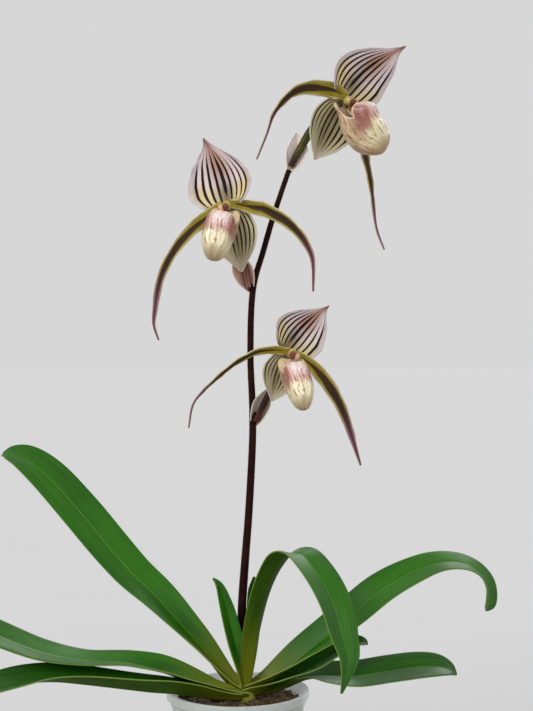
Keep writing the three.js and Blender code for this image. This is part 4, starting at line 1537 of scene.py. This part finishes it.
@dataclass
class Shoot:
    """The short shoot, faintly ridged, with its roots."""

    centre: Triple = (5, 1, 101)
    radii: Triple = (10, 8, 13)
    ridge: float = 0.3
    ridges: Triple = (400, 400, 60)
    root_radius: float = 2.6
    root_count: int = 4
    root_bearing: float = 0.4
    root_turn: float = 60
    root_path: tuple[Pair, ...] = ((1, 96), (7, 88), (18, 76), (28, 60), (33, 42), (30, 24))

    def build(self) -> None:
        """Make the body of the shoot and its roots."""
        mesh = bmesh.new()
        bmesh.ops.create_uvsphere(
            mesh, u_segments=40, v_segments=24, radius=1, matrix=egg(self.centre, self.radii)
        )
        for vertex in mesh.verts:
            ridge = noise.noise(vertex.co * Vector(self.ridges))
            vertex.co += vertex.normal * ridge * self.ridge * MM
        for bearing in angles_round(self.root_count):
            stations = []
            for reach, height in self.root_path:
                angle = bearing + self.root_bearing + reach / self.root_turn
                x = self.centre[0] + reach * math.cos(angle)
                y = self.centre[1] + reach * math.sin(angle)
                stations.append((x, y, height, self.root_radius))
            merge_into(mesh, Stalk(stations, sides=12, rows=24, swell=0.5).mesh())
        publish("shoot_and_roots_skin", mesh, [SHOOT], "shoot", ("shoot_and_roots",))


STEM_STATIONS: list[Station] = [
    (3, 7, 108, 3.6),
    (3, 5, 170, 3.6),
    (6, 3, 218, 3.4),
    (9.5, 2, 265, 3.2),
    (12.5, 1, 332, 3),
    (10.5, 0, 392, 2.7),
    (12.5, 0, 446, 2.6),
    (21.5, 0, 480, 2.4),
    (30.5, 0, 511, 2.3),
    (43, 0, 548, 2.1),
]


@dataclass
class Stem:
    """The dark flower stem, finely hairy."""

    hair_count: int = 5200
    hair_length: float = 1.3
    hair_radius: float = 0.055
    hair_span: Pair = (0.02, 0.995)
    seed: int = 5

    def build(self) -> None:
        """Make the stem and its hairs."""
        stalk = Stalk(STEM_STATIONS, sides=24, rows=150, ribs=5, rib_depth=0.06, swell=0.15)
        publish("flower_stem_skin", stalk.mesh(), [STEM], "dark_stem", ("flower_stem",))
        dice = random.Random(self.seed)
        mesh = bmesh.new()
        spots = []
        for _ in range(self.hair_count):
            along = mix(*self.hair_span, dice.random())
            spots.append(stalk.surface(along, dice.uniform(0, 2 * math.pi)))
        Hairs(self.hair_length, self.hair_radius, self.seed).grow(mesh, spots)
        publish("stem_hairs", mesh, [HAIR], "dark_stem")


@dataclass
class Leaf:
    """One strap leaf of the fan."""

    name: str
    azimuth: float
    stations: list[Station]
    finish: Finish = LEAF_GREEN
    thickness: float = 1.5
    rows: int = 72
    columns: int = 16
    wave_seed: float = 1.7

    def build(self) -> None:
        """Make the leaf's sheet, its thickness and its two faces."""
        blade = Blade(
            self.stations, side_from_azimuth(self.azimuth), self.rows, self.columns,
            wave=0.8, waves=1.5, frill=0.9, frills=7.0, groove=0.25,
            seed=len(self.name) * self.wave_seed,
        )
        finishes = [self.finish, LEAF_UNDER_SHADED]
        piece = publish(f"{self.name}_blade", blade.sheet(), finishes, "leaf", (self.name,))
        thicken(piece, self.thickness)


LEAVES: list[Leaf] = [
    Leaf("leaf_inner_left", 180, [
        (3, -3, 112, 5, 40, 50),
        (1.5, -4, 127, 7.5, 56, 42),
        (-2.5, -4, 147, 9, 66, 34),
        (-7.5, -4, 168, 8, 64, 28),
        (-12, -4, 185, 6, 58, 22),
        (-16, -4, 197, 4, 50, 20),
        (-21, -5, 204, 0.8, 40, 20),
    ]),
    Leaf("leaf_inner_right", -50, [
        (9, -4, 112, 6, 0, 60),
        (12, -6, 125, 9, 0, 50),
        (14, -9, 145, 11, 0, 42),
        (17, -12, 166, 12, 0, 35),
        (22, -16, 190, 13, 0, 28),
        (29, -22, 210, 14, 0, 22),
        (39, -32, 226, 16, 0, 16),
        (51, -43, 229, 18, 0, 12),
        (62, -53, 219, 19, 0, 12),
        (72, -62, 204, 19, 0, 12),
        (79, -70, 188, 18, 0, 12),
        (83, -77, 172, 15.5, 0, 12),
        (87, -83, 156, 11, 0, 14),
        (85, -88, 141, 5, 0, 16),
        (82, -91, 129, 0.8, 0, 16),
    ]),
    Leaf("leaf_small_back", 0, [
        (9, 7, 110, 5, -60, 50),
        (10, 11, 125, 7, -65, 40),
        (12, 13, 150, 8, -70, 30),
        (14, 14, 175, 7.5, -70, 20),
        (13.5, 15, 190, 5.5, -70, 20),
        (13.5, 15, 202, 0.8, -70, 20),
    ]),
    Leaf("leaf_upper_left", 158, [
        (7, -1, 105, 7, 0, 62),
        (-3, 1, 109, 9.5, 8, 60),
        (-14, 4, 119, 12, 16, 54),
        (-32, 8, 142, 15, 30, 45),
        (-51, 12, 163, 16.5, 34, 34),
        (-71, 17, 184, 18, 34, 22),
        (-92, 23, 203, 19, 34, 14),
        (-115, 30, 227, 19.5, 34, 12),
        (-139, 38, 254, 19.5, 34, 10),
        (-167, 46, 283, 18.5, 34, 10),
        (-188, 52, 299, 16, 32, 10),
        (-203, 56, 304, 11, 30, 10),
        (-211, 58, 303, 3, 30, 10),
    ]),
    Leaf("leaf_upper_right", 15, [
        (2, -1, 105, 7, 0, 62),
        (13, 0, 108, 9.5, -4, 58),
        (26, 2, 114, 12, -10, 50),
        (41, 4, 124, 15, -18, 44),
        (57, 6, 137, 16.5, -22, 34),
        (79, 10, 154, 18, -26, 22),
        (102, 14, 173, 18.5, -28, 14),
        (124, 18, 190, 18.5, -28, 12),
        (148, 22, 203, 18, -26, 10),
        (171, 25, 211, 17.5, -22, 10),
        (192, 27, 211, 17, -22, 10),
        (207, 29, 204, 15.5, -28, 12),
        (215, 30, 193, 14, -38, 14),
        (217, 30, 182, 12, -46, 14),
        (216, 29, 174, 9, -48, 14),
        (214.5, 29, 169.5, 0.8, -48, 14),
    ]),
    Leaf("leaf_lower_left", 190, [
        (9, -5, 103, 7, 0, 62),
        (-4, -6, 104.5, 9, 4, 58),
        (-20, -9, 108.5, 12, 10, 52),
        (-40, -14, 118, 15, 20, 42),
        (-60, -19, 128, 16, 22, 32),
        (-80, -24, 134, 16.5, 16, 24),
        (-97, -28, 138, 17, 10, 18),
        (-126, -34, 141, 18, 8, 12),
        (-159, -40, 149, 18.5, 14, 10),
        (-192, -45, 163, 18.5, 20, 10),
        (-224, -49, 177, 17, 26, 10),
        (-252, -52, 184, 12, 26, 10),
        (-272, -54, 185, 6, 26, 10),
        (-282, -55, 183, 0.8, 26, 10),
    ]),
    Leaf("leaf_middle_right", 12, [
        (4, -2, 103, 7, 0, 60),
        (16, 0, 105, 10, -2, 54),
        (29, 3, 109, 12, -6, 48),
        (44, 4, 115, 14, -10, 42),
        (65, 8, 126, 16, -20, 30),
        (86, 12, 138, 12, -20, 24),
        (99, 14, 144, 9.5, -20, 20),
        (107, 15, 145, 6.5, -20, 20),
        (111, 15, 144, 0.8, -20, 20),
    ], LEAF_DARK),
    Leaf("leaf_lower_right", 5, [
        (12, 4, 103, 6, 0, 60),
        (27, 6, 104.5, 10, 0, 50),
        (43, 10, 109, 13, 0, 38),
        (58, 17, 113.5, 15, -6, 26),
        (74, 21, 114.5, 17, -18, 18),
        (100, 22, 114, 18, -26, 14),
        (128, 20, 119, 18.5, -28, 12),
        (153, 18, 123, 18, -28, 10),
        (170, 16, 124, 15, -28, 10),
        (180, 15, 122, 10, -26, 10),
        (187, 14, 118, 0.8, -28, 10),
    ], LEAF_DARK),
    Leaf("leaf_front_left", 195, [
        (4, -8, 103, 7, 0, 60),
        (-8, -10, 103.5, 9, 0, 58),
        (-20, -15, 105.5, 11, 0, 55),
        (-35, -21, 109, 14, 0, 50),
        (-53, -28, 113, 16, 0, 46),
        (-70, -33, 115.5, 17, 0, 46),
        (-89, -38, 119, 17, 2, 45),
        (-124, -45, 125, 17, 5, 42),
        (-150, -50, 128.5, 17, 10, 35),
        (-175, -54, 128, 16, 20, 25),
        (-195, -57, 125, 14, 25, 20),
        (-215, -60, 120, 10, 25, 16),
        (-232, -62, 114, 0.8, 25, 14),
    ], LEAF_DARK),
]

DORSAL_OUTLINE = (
    (-0.03, 0.45), (0.04, 0.72), (0.14, 0.91), (0.27, 1), (0.42, 0.96), (0.56, 0.84),
    (0.69, 0.65), (0.79, 0.42), (0.86, 0.23), (0.93, 0.1), (1, 0.03),
)
VENTRAL_OUTLINE = (
    (-0.02, 0.3), (0.08, 0.6), (0.2, 0.85), (0.36, 1), (0.54, 0.95), (0.71, 0.74),
    (0.84, 0.44), (0.93, 0.19), (1, 0.04),
)


@dataclass(frozen=True)
class Sepal:
    """A sepal's direction and form.

    Its tip leans forward by hood, its middle lies back by bow, its base stands aside by shift.
    """

    along: Triple
    facing: Triple
    length: float
    half: float
    cup: float
    hood: float
    bow: float
    shift: float = 0.0


@dataclass(frozen=True)
class Pouch:
    """A lip's place and form.

    Its front faces front and its back rises to attach. Its side lobes flare and, by lean, come
    forward. The rim dips beside them. Brow and chin swell its front near the mouth and the toe,
    and heel swells its back.
    """

    mouth: Triple
    along: Triple
    front: Triple
    attach: Triple
    length: float
    half: float
    depth: float
    flare: float = 2.5
    brow: float = 1.4
    heel: float = 0.0
    lean: float = 0.0
    dip: float = 5.5
    dip_at: float = 1.25
    chin: float = 1.8
    chin_at: float = 0.86


@dataclass
class Flower:
    """A slipper flower with its column, ovary, lip, petals, sepals and bract."""

    name: str
    centre: Triple
    facing: Triple
    dorsal: Sepal
    ventral: Sepal
    lip: Pouch
    petals: dict[str, list[Station]]
    bract: list[Station]
    ovary: list[Station]
    ovary_finish: Finish = OVARY
    bract_finish: Finish = BRACT
    shield_finish: Finish = SHIELD_MIRRORED
    ovary_slot: str = "dark_ovary"
    seed: int = 1

    SEPAL_THICKNESS = 0.9
    PETAL_THICKNESS = 0.9
    BRACT_THICKNESS = 0.8
    SEPAL_GRID = (48, 28)
    PETAL_GRID = (80, 14)
    PETAL_FOLD = 6
    BRACT_GRID = (32, 16)
    DORSAL_SETBACK = 3
    VENTRAL_SETBACK = 6
    SEPAL_SEED = 3.1
    PETAL_SEED = 5.3
    BRACT_SEED = 2.3
    EDGE_HAIRS = 150
    EDGE_SPAN = (0.03, 0.75)
    NEAR_EDGE = 0.8
    OVARY_HAIRS = 700
    OVARY_SPAN = (0.03, 0.95)

    def __post_init__(self) -> None:
        """Work out the middle and the way that the flower faces."""
        self.middle = Vector(self.centre)
        self.front = Vector(self.facing).normalized()

    def build(self) -> None:
        """Make every organ of the flower."""
        upper, lower = (DORSAL, DORSAL_BACK), (VENTRAL, VENTRAL_BACK)
        self.build_sepal("dorsal_sepal", self.dorsal, DORSAL_OUTLINE, self.DORSAL_SETBACK, upper)
        self.build_sepal("ventral_sepal", self.ventral, VENTRAL_OUTLINE, self.VENTRAL_SETBACK, lower)
        for hand, rows in self.petals.items():
            self.build_petal(hand, rows)
        self.build_bract()
        self.build_ovary()
        Lip(self).build()
        Column(self).build()

    def build_sepal(
        self, organ: str, form: Sepal, outline: tuple, back: float, finishes: tuple[Finish, Finish]
    ) -> None:
        """Make a sepal.

        Args:
            organ: Its node's name after the flower's.
            form: Its direction and form.
            outline: Shares of the length and of the half width.
            back: How far behind the flower's middle it starts.
            finishes: The finishes of its front and its back.
        """
        axis = Vector(form.along).normalized()
        front = reject(Vector(form.facing), axis)
        aside = front.cross(axis)
        root = self.middle - self.front * back
        stations = []
        for share, width in outline:
            lift = form.hood * share * share - form.bow * math.sin(math.pi * max(share, 0))
            place = root + axis * share * form.length + front * lift
            place += aside * form.shift * (1 - share) ** 2
            stations.append((*place, width * form.half, 0, form.cup))
        blade = Blade(
            stations, side_from_facing(front), *self.SEPAL_GRID,
            cup=1, frill=1.8, frills=9.0, groove=0.7,
            seed=self.seed * self.SEPAL_SEED + form.length,
        )
        name = f"{self.name}_{organ}"
        piece = publish(f"{name}_blade", blade.sheet(), list(finishes), organ, (name,))
        thicken(piece, self.SEPAL_THICKNESS)

    def build_petal(self, hand: str, rows: list[Station]) -> None:
        """Make a long petal and the fine hairs on its edges.

        Args:
            hand: Left or right.
            rows: Its places from the flower's middle, its half widths and, where it turns, its rolls.
        """
        stations = []
        for index, (x, y, z, half, *roll) in enumerate(rows):
            fold = self.PETAL_FOLD if index else 0
            stations.append((*(self.middle + Vector((x, y, z))), half, *(roll or [0]), fold))
        blade = Blade(
            stations, side_from_facing(self.front), *self.PETAL_GRID,
            cup=1, wave=0.9, waves=6.0, frill=1.8, frills=22.0, groove=0.5,
            seed=self.seed * self.PETAL_SEED + len(rows),
        )
        name = f"{self.name}_{hand}_petal"
        piece = publish(f"{name}_blade", blade.sheet(), [PETAL, PETAL_BACK], "petal", (name,))
        thicken(piece, self.PETAL_THICKNESS)
        self.fringe(f"{name}_hairs", blade)

    def fringe(self, name: str, blade: Blade) -> None:
        """Grow fine hairs along both edges of a petal.

        Args:
            name: The piece's name.
            blade: The petal's blade.
        """
        spots = []
        for sign in (-1, 1):
            for k in range(self.EDGE_HAIRS):
                along = mix(*self.EDGE_SPAN, (k + 0.5) / self.EDGE_HAIRS)
                edge = blade.point(along, sign)
                inside = blade.point(along, sign * self.NEAR_EDGE)
                spots.append((edge, (edge - inside).normalized()))
        mesh = bmesh.new()
        Hairs(length=0.9, radius=0.06, seed=self.seed).grow(mesh, spots)
        publish(name, mesh, [HAIR], "petal")

    def build_bract(self) -> None:
        """Make the bract that stands behind the ovary."""
        blade = Blade(
            self.bract, side_from_facing(Vector((0, -1, 0))), *self.BRACT_GRID,
            cup=0.5, frill=0.8, frills=5.0, groove=0.4, seed=self.seed * self.BRACT_SEED,
        )
        name = f"{self.name}_bract"
        finishes = [self.bract_finish, self.bract_finish]
        piece = publish(f"{name}_blade", blade.sheet(), finishes, "bract", (name,))
        thicken(piece, self.BRACT_THICKNESS)

    def build_ovary(self) -> None:
        """Make the ribbed ovary and its hairs."""
        stalk = Stalk(self.ovary, sides=36, rows=40, ribs=6, rib_depth=0.22)
        name = f"{self.name}_ovary"
        publish(f"{name}_skin", stalk.mesh(), [self.ovary_finish], self.ovary_slot, (name,))
        dice = random.Random(self.seed)
        spots = []
        for _ in range(self.OVARY_HAIRS):
            along = dice.uniform(*self.OVARY_SPAN)
            spots.append(stalk.surface(along, dice.uniform(0, 2 * math.pi)))
        mesh = bmesh.new()
        Hairs(length=0.8, radius=0.05, seed=self.seed).grow(mesh, spots)
        publish(f"{name}_hairs", mesh, [HAIR], self.ovary_slot)


@dataclass
class Lip:
    """A flower's pouch: a thin hollow slipper with rolled-in side lobes."""

    flower: Flower
    sides: int = 64
    rings: int = 40
    roll_steps: int = 5
    crowding: float = 1.7
    wall: float = 1.0
    mouth_swell: float = 0.98
    crest: float = 5.0
    lobe_rise: float = 8.0
    taper: float = 0.22
    narrowing: float = 0.5
    toe_start: float = 0.45
    toe_round: float = 2.3
    belly: float = 3.0
    notch: float = 1.4
    notch_width: float = 0.3
    squareness: float = 0.74
    groove_depth: float = 0.55
    groove_bell: Pair = (0.36, 0.13)
    brow_bell: Pair = (0.2, 0.18)
    flare_bell: Pair = (2.0, 0.45)
    lobe_bell: Pair = (2.15, 0.5)
    roll_bell: Pair = (1.75, 0.55)
    dip_width: float = 0.32
    chin_width: float = 0.45
    chin_height: float = 0.09
    notch_run: Pair = (0.6, 0.95)
    groove_rise: Pair = (0.25, 0.6)
    groove_fall: Pair = (1.0, 0.8)
    flare_run: Pair = (0.7, 0.1)
    lean_run: Pair = (0.3, 0)
    heel_run: Pair = (0.9, 0.3)
    heel_start: Pair = (0, 0.25)
    heel_least: float = 0.5
    front_roll: float = 0.7
    side_roll: float = 3.4
    roll_turns: Pair = (40, 165)
    roll_rise: float = 0.6
    roll_level: float = -0.1
    toe_reach: float = 0.6

    def __post_init__(self) -> None:
        """Work out the pouch's middle, its directions and the way its back rises."""
        form = self.flower.lip
        self.axis = Vector(form.along).normalized()
        self.front = reject(Vector(form.front), self.axis)
        self.side = self.front.cross(self.axis)
        self.centre = Vector(form.mouth) + self.flower.middle
        self.rise = Vector(form.attach) - Vector(form.mouth) + self.front * form.depth * self.mouth_swell

    def swell(self, share: float) -> float:
        """Find how wide the pouch is.

        Args:
            share: From the mouth, 0, to the toe, 1.

        Returns:
            The share of its full width.
        """
        if share < self.toe_start:
            return mix(self.mouth_swell, 1, math.sin(math.pi * share))
        toe = (share - self.toe_start) / (1 - self.toe_start)
        return math.sqrt(max(1 - toe**self.toe_round, 0))

    def spot(self, share: float, angle: float) -> Vector:
        """Find a point of the outer skin, in millimetres.

        Args:
            share: From the mouth, 0, to the toe, 1.
            angle: Round the pouch from its front.

        Returns:
            The point.
        """
        form = self.flower.lip
        turn = math.remainder(angle, 2 * math.pi)
        aside = abs(turn)
        before, rear = ((1 + math.cos(angle)) / 2) ** 2, ((1 - math.cos(angle)) / 2) ** 2
        fade = (1 - share) ** 2
        behind = fade * (1 - share) * rear
        across = math.copysign(abs(math.sin(angle)) ** self.squareness, math.sin(angle))
        ahead = math.copysign(abs(math.cos(angle)) ** self.squareness, math.cos(angle))
        # How far the rim rises and dips along the pouch.
        crest = fade * self.crest * before
        dip = fade * form.dip * bell(aside, form.dip_at, self.dip_width)
        lobe = fade * self.lobe_rise * bell(aside, *self.lobe_bell)
        cleft = bell(turn, 0, self.notch_width) * smooth(share, *self.notch_run)
        # How far the skin stands out to the front.
        groove = bell(aside, *self.groove_bell) * smooth(share, *self.groove_rise)
        groove *= smooth(share, *self.groove_fall)
        chin = bell(share, form.chin_at, self.chin_height) * bell(turn, 0, self.chin_width)
        heel = form.heel * rear * smooth(share, *self.heel_run)
        heel *= mix(self.heel_least, 1, smooth(share, *self.heel_start))
        bulge = self.belly * math.sin(math.pi * share) + form.chin * chin - heel
        bulge += form.brow * bell(share, *self.brow_bell) * before
        bulge += form.lean * lobe * smooth(share, *self.lean_run)
        # How wide it is.
        swell = self.swell(share) * (1 - self.taper * share)
        flare = form.flare * bell(aside, *self.flare_bell) * smooth(share, *self.flare_run)
        half = form.half * swell * (1 - self.narrowing * behind) + flare
        return (
            self.centre
            + self.axis * (share * form.length - crest + dip - lobe - self.notch * cleft)
            + self.rise * behind
            + self.front * ((form.depth * swell - self.groove_depth * groove) * ahead + bulge)
            + self.side * (half * across)
        )

    def rolled(self, angle: float, share: float) -> Vector:
        """Find a point of the rim that rolls in over the mouth.

        Args:
            angle: Round the pouch from its front.
            share: From the rim, 0, to the lobe's edge, 1.

        Returns:
            The point.
        """
        lobe = bell(abs(math.remainder(angle, 2 * math.pi)), *self.roll_bell)
        size = mix(self.front_roll, self.side_roll, lobe)
        edge = self.spot(0, angle)
        inward = reject(self.centre - edge, self.axis)
        curl = math.radians(mix(*self.roll_turns, lobe)) * share
        lift = self.axis * size * math.sin(curl) * self.roll_rise
        return edge - lift + inward * size * (1 - math.cos(curl))

    def build(self) -> None:
        """Make the pouch and its wall."""
        form = self.flower.lip
        angles = angles_round(self.sides)
        rings, levels = [], []
        for step in range(self.roll_steps, 0, -1):
            share = step / self.roll_steps
            rings.append([self.rolled(angle, share) for angle in angles])
            levels.append(self.roll_level * share)
        for k in range(self.rings):
            share = 1 - (1 - k / self.rings) ** self.crowding
            rings.append([self.spot(share, angle) for angle in angles])
            levels.append(share)
        mesh = Skin.between(rings, self.sides)
        layer = mesh.loops.layers.uv[UV_NAME]
        for face in mesh.faces:
            for loop in face.loops:
                row = round(loop[layer].uv.y * (len(levels) - 1))
                loop[layer].uv.y = levels[row]
        toe = self.centre + self.axis * form.length
        reach = form.half * self.toe_reach
        last = [edge for edge in mesh.edges if edge.is_boundary and all(
            (vertex.co / MM - toe).length < reach for vertex in edge.verts
        )]
        bmesh.ops.holes_fill(mesh, edges=last, sides=0)
        bmesh.ops.recalc_face_normals(mesh, faces=mesh.faces)
        name = f"{self.flower.name}_lip"
        piece = publish(f"{name}_pouch", mesh, [LIP, LIP_LINING], "lip", (name,))
        thicken(piece, self.wall, offset=-1, even=False)


@dataclass
class Column:
    """A flower's column: a short thick finger with a shield in front."""

    flower: Flower
    finger: Triple = (4.2, 4.2, 6)
    shield: Triple = (5.2, 4.2, 1.7)
    forward: float = 7
    drop: float = 1.2
    spread: float = 0.12
    cleft: float = 0.16
    cleft_width: float = 0.25
    cleft_start: float = 0.2
    hollow: float = 0.25
    hollow_rim: float = 0.4
    fold: float = 0.6

    def plate(self, x: float, y: float, z: float) -> Vector:
        """Find a point of the heart-shaped shield.

        Args:
            x: The place on a unit ball, across.
            y: The place on it, up.
            z: The place on it, to the front.

        Returns:
            The point in millimetres.
        """
        cleft = self.cleft * bell(x, 0, self.cleft_width) * smooth(y, self.cleft_start, 1)
        heart = 1 + self.spread * y - cleft
        dome = self.hollow * (x * x - self.hollow_rim) if z > 0 else 0
        return Vector((
            x * self.shield[0] * heart,
            y * self.shield[1] * heart - self.drop,
            (z - dome) * self.shield[2] + self.forward - self.fold * abs(x),
        ))

    def build(self) -> None:
        """Make the finger and the shield, with the shield's front kept in its UV map."""
        front = self.flower.front
        up = reject(Vector(self.flower.dorsal.along), front)
        turn = Matrix((up.cross(front), up, front)).transposed().to_4x4()
        place = Matrix.Translation(self.flower.middle * MM) @ turn
        mesh = bmesh.new()
        finger = bmesh.ops.create_uvsphere(mesh, u_segments=28, v_segments=18, radius=1)["verts"]
        for vertex in finger:
            vertex.co = vertex.co * Vector(self.finger) * MM
        shield = bmesh.ops.create_uvsphere(mesh, u_segments=40, v_segments=24, radius=1)["verts"]
        for vertex in shield:
            vertex.co = self.plate(*vertex.co) * MM
        bmesh.ops.transform(mesh, matrix=place, verts=mesh.verts)
        back = place.inverted()
        layer = mesh.loops.layers.uv.new(UV_NAME)
        for face in {face for vertex in shield for face in vertex.link_faces}:
            face.material_index = 1
            for loop in face.loops:
                spot = back @ loop.vert.co / MM
                across, rise = spot.x / self.shield[0], (spot.y + self.drop) / self.shield[1]
                loop[layer].uv = (across / 2 + 0.5, rise / 2 + 0.5)
        name = f"{self.flower.name}_column"
        publish(f"{name}_skin", mesh, [COLUMN, self.flower.shield_finish], "column", (name,))


FLOWERS: list[Flower] = [
    Flower(
        "left_flower", (-9, -25, 515), (-0.42, -0.88, -0.2),
        dorsal=Sepal((-0.23, -0.03, 0.97), (-0.5, -0.85, -0.13), 57, 33, 16, 13, 4),
        ventral=Sepal((0.2, 0.14, -0.97), (-0.2, -0.96, -0.2), 56, 21, 18, 6, 2),
        lip=Pouch(
            (-3.6, -13, -18.8), (-0.21, -0.5, -0.84), (-0.16, -0.95, -0.2), (-0.5, 1, -5), 33, 13.9, 15
        ),
        petals={
            "left": [
                (-3, -1, 1, 3.5),
                (-16.6, 2, -10, 6),
                (-29.4, 5, -20, 5.4),
                (-41, 8, -33, 4.6),
                (-51, 11, -49, 4),
                (-57, 13, -66, 3.5),
                (-60, 14, -85, 2.6),
                (-61, 14, -98, 1.4),
                (-57, 13, -111, 0.8),
            ],
            "right": [
                (3, -2, 1.5, 3.5),
                (12.7, -5, 0, 4.5),
                (24, -8, -2.5, 6),
                (33, -11, -5, 6),
                (48.7, -15, -14, 5),
                (60, -18, -25, 4),
                (68, -20, -38, 3),
                (71, -20, -50, 1.8),
                (71, -19, -72, 0.8),
            ],
        },
        bract=[
            (11, 2, 446, 4, 0, 50),
            (7, 1, 455, 11, 0, 48),
            (3, -1, 465, 12, 0, 42),
            (-1, -4, 474, 6, 0, 40),
            (-3, -5, 478, 0.8, 0, 40),
        ],
        ovary=[
            (9, -2, 449, 2.3),
            (6, -6, 464, 2.8),
            (0, -9, 481, 3.3),
            (-3.5, -12, 497, 3.2),
            (-6, -16.5, 509.5, 2.6),
        ],
        shield_finish=SHIELD,
        seed=1,
    ),
    Flower(
        "lower_flower", (45, -25, 393), (0.42, -0.88, -0.2),
        dorsal=Sepal((0.53, -0.05, 0.845), (0.4, -0.85, -0.3), 50, 27, 14, 12, 6, 6),
        ventral=Sepal((-0.36, 0.06, -0.93), (0.3, -0.93, -0.2), 43, 19, 18, 5, 2),
        lip=Pouch(
            (2.6, -12, -18.4), (0.21, -0.6, -0.78), (0.2, -0.95, -0.2), (-1.5, 1, -5), 34, 12.2, 12.5
        ),
        petals={
            "left": [
                (-3, -2, 1.5, 3.2, 10),
                (-14.8, -5, 3, 4, 15),
                (-28, -8, 1.6, 3.4, 20),
                (-38.5, -10, -3, 3.2, 25),
                (-51, -12, -11, 3, 30),
                (-62, -13, -20.5, 2.4, 30),
                (-72, -14, -30, 1.8, 30),
                (-81, -14, -42, 1.2, 30),
                (-84.5, -13, -61, 0.8, 30),
            ],
            "right": [
                (3, -1, 0.5, 3.2),
                (15.6, 3, -9, 5),
                (24, 5, -18, 6),
                (33, 7, -30, 5.8),
                (42.6, 10, -48, 4.6),
                (49, 12, -65.6, 3.4),
                (53.5, 12, -80, 2),
                (57.7, 11, -93.5, 0.8),
            ],
        },
        bract=[
            (13, 3, 332, 4, 0, 50),
            (17, 2, 342, 9.5, 0, 48),
            (21, 0, 352, 10, 0, 42),
            (25, -2, 360, 5, 0, 40),
            (27, -2, 364, 0.8, 0, 36),
        ],
        ovary=[
            (15, -3, 336, 2.3),
            (21, -7, 349, 2.7),
            (29, -10, 364, 3),
            (36.5, -12, 378, 3),
            (41.5, -16.5, 388.5, 2.5),
        ],
        ovary_finish=DARK_OVARY,
        bract_finish=BRACT_GREY,
        seed=2,
    ),
    Flower(
        "top_flower", (92, -20, 602.5), (0.7, -0.62, -0.35),
        dorsal=Sepal((0.64, -0.1, 0.765), (0.45, -0.8, -0.4), 63, 29, 10, 18, 8, 4),
        ventral=Sepal((-0.46, 0.02, -0.89), (0.45, -0.86, -0.25), 56, 23, 16, 4, 2),
        lip=Pouch(
            (2.6, -9, -21.5), (0.73, -0.28, -0.62), (0.62, -0.45, 0.6), (-4.5, -2, -4), 36, 14, 17.5,
            flare=4, brow=6.5, heel=8, lean=0.8, dip=9, dip_at=1.5, chin=4, chin_at=0.94,
        ),
        petals={
            "left": [
                (-2, -2, 3, 3.5),
                (-11.6, -7, 7, 6.8),
                (-28, -14, 8.3, 6.6),
                (-39.8, -19, 6.2, 5.2),
                (-49, -22, 0.8, 4.2),
                (-57.3, -25, -8.3, 3),
                (-63, -27, -17.4, 2),
                (-68, -28, -33, 1.1),
                (-76, -29, -53, 0.8),
            ],
            "right": [
                (2, 2, -2, 3.5),
                (6, 10, -14, 5.5),
                (11, 15, -29, 5.5),
                (15.5, 18, -45, 5),
                (19.6, 19, -65, 3.6),
                (22, 20, -83, 2.4),
                (25, 20, -104, 1.4),
                (31.5, 19, -122, 0.8),
            ],
        },
        bract=[
            (43, 2, 546, 3, 0, 45),
            (47, 3, 555, 9.5, 0, 38),
            (50, 3, 565, 11, 0, 32),
            (50, 2.5, 574, 6.5, 0, 32),
            (49.5, 2, 580, 0.8, 0, 32),
        ],
        ovary=[
            (44.5, -0.5, 551, 2.2),
            (51, -2, 563, 3),
            (63, -6, 582, 3.6),
            (78, -11, 596, 3.4),
            (87, -14, 601, 2.6),
        ],
        ovary_finish=GREEN_OVARY,
        ovary_slot="green_ovary",
        bract_finish=BRACT_PALE,
        seed=3,
    ),
]


@dataclass(frozen=True)
class Lamp:
    """A soft sun: where it shines from, how wide it spreads in degrees, and its strength."""

    name: str
    place: Triple
    spread: float
    strength: float

    def build(self) -> None:
        """Hang the lamp."""
        light = bpy.data.lights.new(self.name, "SUN")
        light.angle = math.radians(self.spread)
        light.energy = self.strength
        holder = stand(self.name, light)
        holder.location = self.place
        holder.rotation_euler = (-Vector(self.place)).to_track_quat("-Z", "Y").to_euler()


@dataclass
class Studio:
    """The pale floor, the soft lights and the camera at the photograph's viewing angle."""

    camera_place: Triple = (0.0241, -1.096, 0.3913)
    lens: float = 65.67
    floor_size: float = 80.0
    sky_strength: float = 0.68
    lamps: tuple[Lamp, ...] = (
        Lamp("key", (-0.75, -1.0, 0.85), 25.0, 1.5),
        Lamp("fill", (1.2, -0.8, 0.7), 40.0, 0.3),
        Lamp("back", (0.5, 1.2, 1.0), 30.0, 0.6),
    )

    def build(self) -> None:
        """Set up the camera, the floor, the sky and the lamps."""
        view = bpy.data.cameras.new("photo_view")
        view.lens = self.lens
        camera = stand("photo_view", view)
        camera.location = self.camera_place
        camera.rotation_euler = (math.pi / 2, 0, 0)
        scene = bpy.context.scene
        scene.camera = camera
        mesh = bmesh.new()
        bmesh.ops.create_grid(mesh, x_segments=4, y_segments=4, size=self.floor_size / 2)
        data = settle("floor", mesh)
        data.materials.append(PALE_FLOOR.material())
        floor = stand("floor", data)
        scene.world = bpy.data.worlds.new("soft_sky")
        scene.world.use_nodes = True
        sky = scene.world.node_tree.nodes["Background"]
        sky.inputs["Color"].default_value = WHITE
        sky.inputs["Strength"].default_value = self.sky_strength
        scene.view_settings.view_transform = "Standard"
        for lamp in self.lamps:
            lamp.build()


def main() -> None:
    """Build the studio and the orchid, and log each maker as it is built."""
    logging.basicConfig(level=logging.INFO, format="%(message)s")
    for maker in (Studio(), Pot(), Medium(), Shoot(), Stem(), *LEAVES, *FLOWERS):
        maker.build()
        LOG.info("built %s", getattr(maker, "name", type(maker).__name__))


if __name__ == "__main__":
    main()
